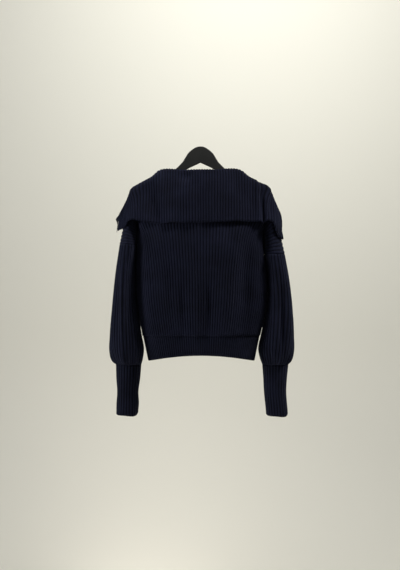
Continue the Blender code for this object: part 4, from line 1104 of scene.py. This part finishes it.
def stitchGroup():  # chevron stitches along each rib, from a place counted in ribs and stitches; its colour output is painted shade in the valleys between ribs and stitches and painted light on their tops, with random fuzz and patches
    group = bpy.data.node_groups.new("stitches", "ShaderNodeTree")
    for name in ("Place", "Object"):
        group.interface.new_socket(name, in_out="INPUT", socket_type="NodeSocketVector")
    for name in ("Height", "ToneAndShade"):
        group.interface.new_socket(name, in_out="OUTPUT", socket_type="NodeSocketFloat")
    given, result = group.nodes.new("NodeGroupInput"), group.nodes.new("NodeGroupOutput")
    apart = group.nodes.new("ShaderNodeSeparateXYZ")
    group.links.new(given.outputs["Place"], apart.inputs[0])
    across, along = apart.outputs[0], apart.outputs[1]
    # rib profile, 1 on a rib's top and 0 in its valley: it shapes the bump, and in the colour it paints shade
    # into the valleys
    top = wave(group, across, 1)
    lean = calc(group, "ABSOLUTE", calc(group, "SUBTRACT", calc(group, "FRACT", across), 0.5))
    chevron = calc(group, "ADD", along, calc(group, "MULTIPLY", lean, yarn["lean"]))
    stitchPower, ribPower = yarn["powers"]
    stitch = calc(group, "POWER", wave(group, chevron, 1), stitchPower)
    raised = calc(group, "MULTIPLY", stitch, calc(group, "POWER", top, ribPower))
    fuzz = noiseOf(group, given.outputs["Object"], yarn["fuzz"], 3)
    patches = calc(group, "SUBTRACT", noiseOf(group, given.outputs["Object"], yarn["patches"], 3), 0.5)
    height = sumOf(group, (raised, fuzz), yarn["height"])
    # the colour's tone: rib and stitch relief as painted shade and painted light, over random fuzz and
    # patches
    toneAndShade = sumOf(group, (top, raised, fuzz, patches), yarn["toneAndShade"])
    group.links.new(height, result.inputs["Height"])
    group.links.new(toneAndShade, result.inputs["ToneAndShade"])
    return group


def freshMaterial(name):  # with the place on the object, which noise is laid out by
    made = bpy.data.materials.new(name)
    made.use_nodes = True
    tree = made.node_tree
    return made, tree, tree.nodes["Principled BSDF"], tree.nodes.new("ShaderNodeTexCoord").outputs["Object"]


def knitPlace(tree):  # the place on the cloth, counted in ribs and stitches
    made = tree.nodes.new("ShaderNodeUVMap")
    made.uv_map = "knit"
    return made.outputs[0]


def colourBetween(tree, shader, factor, look):
    ramped = tree.nodes.new("ShaderNodeValToRGB")
    low, high = ramped.color_ramp.elements
    low.position, low.color = 0.15, (*look["dark"], 1)
    high.position, high.color = 0.85, (*look["light"], 1)
    tree.links.new(factor, ramped.inputs[0])
    tree.links.new(ramped.outputs[0], shader.inputs["Base Color"])


def roughnessFrom(tree, shader, value, look):
    least, added = look["roughness"]
    rough = calc(tree, "ADD", calc(tree, "MULTIPLY", value, added), least)
    tree.links.new(rough, shader.inputs["Roughness"])


def bumpFrom(tree, shader, height, look):
    bump = tree.nodes.new("ShaderNodeBump")
    bump.inputs["Strength"].default_value, bump.inputs["Distance"].default_value = look["bump"]
    tree.links.new(height, bump.inputs["Height"])
    tree.links.new(bump.outputs[0], shader.inputs["Normal"])


def knitMaterial(name, look, group):
    made, tree, shader, spot = freshMaterial(name)
    stitches = tree.nodes.new("ShaderNodeGroup")
    stitches.node_tree = group
    tree.links.new(knitPlace(tree), stitches.inputs["Place"])
    tree.links.new(spot, stitches.inputs["Object"])
    # base colour: painted shade in the rib and stitch valleys, painted light on their tops, and random tone
    colourBetween(tree, shader, stitches.outputs["ToneAndShade"], look)
    bumpFrom(tree, shader, stitches.outputs["Height"], look)
    for socket, value in yarn["shader"].items():
        shader.inputs[socket].default_value = value
    return made


def tapeMaterial(name, look):  # fine woven ribs across the tape; the colour follows their height, painted shade in the weave's valleys and painted light on its tops, over random fuzz
    made, tree, shader, spot = freshMaterial(name)
    apart = tree.nodes.new("ShaderNodeSeparateXYZ")
    tree.links.new(knitPlace(tree), apart.inputs[0])
    weave = wave(tree, apart.outputs[1], look["ribs"])
    height = sumOf(tree, (weave, noiseOf(tree, spot, look["fuzz"])), (1.0, 0.4))
    # painted shade: the tape's colour darkens in the valleys of its weave
    colourBetween(tree, shader, calc(tree, "MULTIPLY", height, 0.7), look)
    bumpFrom(tree, shader, height, look)
    shader.inputs["Roughness"].default_value = look["roughness"]
    return made


def metalMaterial(name, look):  # dull zip metal with fine scratches
    made, tree, shader, spot = freshMaterial(name)
    scratch = noiseOf(tree, spot, look["scratches"], 4)
    roughnessFrom(tree, shader, scratch, look)
    bumpFrom(tree, shader, scratch, look)
    shader.inputs["Base Color"].default_value = (*look["colour"], 1.0)
    shader.inputs["Metallic"].default_value = 1.0
    return made


def hangerMaterial(name, look):  # flat black lacquer with a little dust and uneven gloss
    made, tree, shader, spot = freshMaterial(name)
    dust = noiseOf(tree, spot, look["dust"], 4)
    colourBetween(tree, shader, dust, look)
    roughnessFrom(tree, shader, dust, look)
    bumpFrom(tree, shader, noiseOf(tree, spot, look["grain"]), look)
    return made


group = stitchGroup()
knit = knitMaterial("navyKnit", looks["knit"], group)
bandKnit = knitMaterial("navyBand", looks["band"], group)
weave = tapeMaterial("zipTape", looks["tape"])
metal = metalMaterial("zipMetal", looks["metal"])
lacquer = hangerMaterial("hangerBlack", looks["hanger"])
print("materials made")

panelPieces = {
    "back": {"flat": (0.62, 0.50), "area": 0.215, "seed": 3},
    "front": {"flat": (0.30, 0.50), "area": 0.105, "seed": 11},
}


def makeBack(piece):
    halves = [panelShape(side, "back") for side in sides]
    both = [np.concatenate([left[:, :0:-1], right], axis=1) for left, right in zip(*halves)]
    base, facing, ribbed = finer(*both)
    base = uneven(base, piece["seed"])
    made = shell("backKnit", base, facing, ribbed, knit,
                 limit=keepApart(-1.0, ((0, "left"), (-1, "right"))))
    return sew(made, "back")


def makeFront(side, piece):
    base, facing, ribbed = finer(*panelShape(side, "front"))
    base = uneven(base, piece["seed"] + sides[side])
    made = shell(f"frontKnit_{side}", base, facing, ribbed, knit, limit=keepApart(1.0, ((-1, side),)))
    return sew(made, f"front_{side}")


makeBack(panelPieces["back"])
for side in sides:
    makeFront(side, panelPieces["front"])
print("back and fronts made")


def makeHem():
    up = list(np.arange(0, panels["halfRibs"] + cloth["ribStep"] / 2, cloth["ribStep"]))
    lines = [hemLine("left", "front", rib) for rib in up]
    lines += [hemLine("left", "back", rib) for rib in up[-2::-1]]
    lines += [hemLine("right", "back", rib) for rib in up[1:]]
    lines += [hemLine("right", "front", rib) for rib in up[-2::-1]]
    grid = np.array(lines).transpose(1, 0, 2)
    rise = foldRise(grid, panels["backFolds"]) * (grid[:, :, 1] < 0)
    rise += foldRise(grid, panels["frontFolds"]) * (grid[:, :, 1] > 0)
    facing = -normals(grid, False)
    base = grid + facing * (rise - hem["drawnIn"])[..., None]
    base, facing, ribbed = finer(base, facing, np.ones(grid.shape[:2]))
    made = shell("hemKnit", base, facing, ribbed, bandKnit, ribs=0.8)
    return sew(made, "hem_band")


makeHem()
print("hem made")

sleevePieces = {
    "sleeve": {"flat": (0.32, 0.34), "area": None, "ribs": 1.0, "gather": 0.0042},
    "cuff": {"flat": (0.19, 0.147), "area": None, "ribs": 0.8, "gather": 0.0, "lift": 0.006},
    "gatherReach": (0.012, 0.07),  # the puckers set in over the first length and fade over the second
    "liftReach": 0.05,  # height over which a cuff's uneven end fades
    # x at the fold's top and bottom, half width, height, and where it starts and ends
    "foldsLeft": table(
        "xTop xBottom width rise top bottom",
        (-0.216, -0.219, 0.0060, 0.0060, -0.27, -0.58),
        (-0.230, -0.234, 0.0075, -0.0055, -0.28, -0.60),
        (-0.200, -0.197, 0.0080, -0.0065, -0.30, -0.61),
        (-0.244, -0.246, 0.0060, 0.0020, -0.38, -0.60),
    ),
    "foldsRight": table(
        "xTop xBottom width rise top bottom",
        (0.208, 0.206, 0.0100, 0.0050, -0.30, -0.57),
        (0.226, 0.228, 0.0085, -0.0090, -0.36, -0.62),
        (0.246, 0.250, 0.0075, 0.0040, -0.33, -0.60),
    ),
}
puckers = table(  # shares of the way round, half width of each pucker and how deep it is
    "share width rise",
    (0.04, 0.020, 1.0),
    (0.13, 0.026, -1.0),
    (0.21, 0.018, 0.8),
    (0.31, 0.024, -0.9),
    (0.40, 0.020, 1.0),
    (0.52, 0.028, -0.8),
    (0.60, 0.020, 0.9),
    (0.69, 0.022, -1.0),
    (0.78, 0.018, 1.0),
    (0.87, 0.026, -1.0),
    (0.95, 0.018, 0.7),
)


def gathers(grid, low):  # puckers that fade out above the seam to the cuff
    around = np.arange(grid.shape[1]) / grid.shape[1]
    total = np.zeros(grid.shape[:2])
    height = grid[:, :, 2] - low
    start, reach = sleevePieces["gatherReach"]
    near = smooth(height / start) * (1 - smooth((height - start) / reach))
    for share, width, rise in zip(*puckers.values()):
        off = np.abs(around - share)
        total += rise * np.exp(-(np.minimum(off, 1 - off) / width) ** 2)[None, :] * near
    return total


def makeTube(kind, side, piece, ribs, cloths):
    data = sleeves[f"{kind}{side.capitalize()}"]
    base, facing, ribbed = finer(*tubeGrid(side, data, ribs), closed=True)
    low = data["z"].min()
    rise = gathers(base, low) * piece["gather"]
    if kind == "sleeve":
        away = smooth(np.abs(facing[..., 1]) * 1.6)
        rise += foldRise(base, sleevePieces[f"folds{side.capitalize()}"]) * away
    base = base + facing * rise[..., None]
    if kind == "cuff":
        turn = 2 * math.pi * np.arange(base.shape[1]) / base.shape[1]
        lift = piece["lift"] * (np.cos(turn) ** 4 + 0.25 * (1 + np.sin(3 * turn + sides[side])))
        base[..., 2] += lift * ramp(base[..., 2], low + sleevePieces["liftReach"], low)
    made = shell(f"{kind}Knit_{side}", base, facing, ribbed, cloths, closed=True,
                 limit=keepLevel(data), ribs=piece["ribs"])
    return sew(made, f"{kind}_{side}")


for side in sides:
    makeTube("sleeve", side, sleevePieces["sleeve"], sleeves["sleeveRibs"], knit)
    makeTube("cuff", side, sleevePieces["cuff"], sleeves["cuffRibs"], bandKnit)
print("sleeves and cuffs made")

collarPiece = {"flat": (0.59, 0.22), "area": 0.12, "seed": 51, "rowStep": 0.005}


def makeCollar(piece, shape):
    base, facing = shape
    base, facing, ribbed = finer(base, facing, np.ones(base.shape[:2]), rowStep=piece["rowStep"])
    base = uneven(base, piece["seed"])
    made = shell("collarKnit", base, facing, ribbed, knit)
    return sew(made, "collar")


shape = collarShape()
makeCollar(collarPiece, shape)
print("collar made")


def makeTape(name, node, lines, span, offset):
    sew(tapePiece(name, lines, weave), node)
    teeth = teethPiece(name.replace("Tape", "Teeth"), lines, metal, span, offset)
    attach(teeth, "garment")


for side in sides:
    offset = 0.0 if side == "left" else zipTape["toothPitch"] / 2
    makeTape(f"zipTape_{side}", f"zip_tape_{side}", tapeLines(side), zipTape["frontSpan"], offset)
    lines = collarTapeLines(side, *shape)
    makeTape(f"collarTape_{side}", f"collar_tape_{side}", lines, zipTape["collarSpan"], 0.0)

for name, look in (("zip_slider", metal), ("zip_pull", metal), ("hanger", lacquer)):
    node = frame["nodes"][name]
    node.data.materials.clear()
    node.data.materials.append(look)
print("zip and hanger finished")

room = {
    "colour": (0.75, 0.74, 0.67),
    "roughness": 0.9,
    "grain": 60,
    "bump": (0.05, 0.002),
    "floor": -1.9,
    "wall": 3.6,
    "bend": 1.2,
    "width": 12.0,
    "front": -5.0,
    "top": 4.0,
    "world": (0.86, 0.88, 0.92),
    "worldStrength": 0.06,
}
lights = {  # place, what it points at, size, power and colour
    "key": ((-2.9, -0.85, 0.0), (-0.05, 0.0, -0.38), 0.7, 46.0, (0.97, 0.98, 1.0)),
    "top": ((1.9, -0.85, 2.7), (0.08, 0.0, -0.3), 0.7, 84.0, (1.0, 0.985, 0.97)),
    "fill": ((0.3, -3.4, 0.9), (0.0, 0.0, -0.35), 2.0, 1.6, (0.95, 0.96, 1.0)),
    "behind": ((0.7, 2.3, 0.9), (0.0, 0.0, -0.35), 1.8, 14.0, (1.0, 0.99, 0.97)),
    "wallTop": ((0.3, 1.5, 2.1), (0.3, 3.6, 1.0), 1.5, 60.0, (1.0, 0.99, 0.95)),
    "wallLow": ((-0.3, 2.2, -1.4), (-0.2, 3.6, -1.1), 0.7, 3.0, (1.0, 0.93, 0.84)),
}
camera = {"place": (-0.0014, -3.0, -0.3947), "lens": 66.5, "sensor": 36.0}


def makeRoom(piece):  # one pale sweep: floor, bend and wall
    turns = np.linspace(0, math.pi / 2, 13)
    profile = [(piece["front"], piece["floor"])]
    profile += [(piece["wall"] - piece["bend"] + piece["bend"] * math.sin(a),
                 piece["floor"] + piece["bend"] * (1 - math.cos(a))) for a in turns]
    profile.append((piece["wall"], piece["top"]))
    half = piece["width"] / 2
    mesh = bpy.data.meshes.new("room")
    points = [(x, y, z) for x in (-half, half) for y, z in profile]
    count = len(profile)
    mesh.from_pydata(points, [], [(k, k + 1, count + k + 1, count + k) for k in range(count - 1)])
    mesh.polygons.foreach_set("use_smooth", [True] * (count - 1))
    made = show("room", mesh)
    paint, tree, shader, spot = freshMaterial("paleWall")
    bumpFrom(tree, shader, noiseOf(tree, spot, piece["grain"], 3), piece)
    shader.inputs["Base Color"].default_value = (*piece["colour"], 1.0)
    shader.inputs["Roughness"].default_value = piece["roughness"]
    mesh.materials.append(paint)
    world = bpy.data.worlds.new("world")
    world.use_nodes = True
    sky = world.node_tree.nodes["Background"]
    sky.inputs["Color"].default_value = (*piece["world"], 1.0)
    sky.inputs["Strength"].default_value = piece["worldStrength"]
    bpy.context.scene.world = world


def makeLight(name, place, target, size, power, colour):
    data = bpy.data.lights.new(name, "AREA")
    data.size, data.energy, data.color = size, power, colour
    made = show(name, data)
    made.location = place
    made.rotation_euler = (Vector(target) - Vector(place)).to_track_quat("-Z", "Y").to_euler()


makeRoom(room)
for name, settings in lights.items():
    makeLight(name, *settings)
view = show("view", bpy.data.cameras.new("view"))
view.data.lens, view.data.sensor_width = camera["lens"], camera["sensor"]
view.location, view.rotation_euler = camera["place"], (math.pi / 2, 0.0, 0.0)
bpy.context.scene.camera = view
bpy.context.scene.view_settings.view_transform = "Standard"
print("room, lights and camera set")
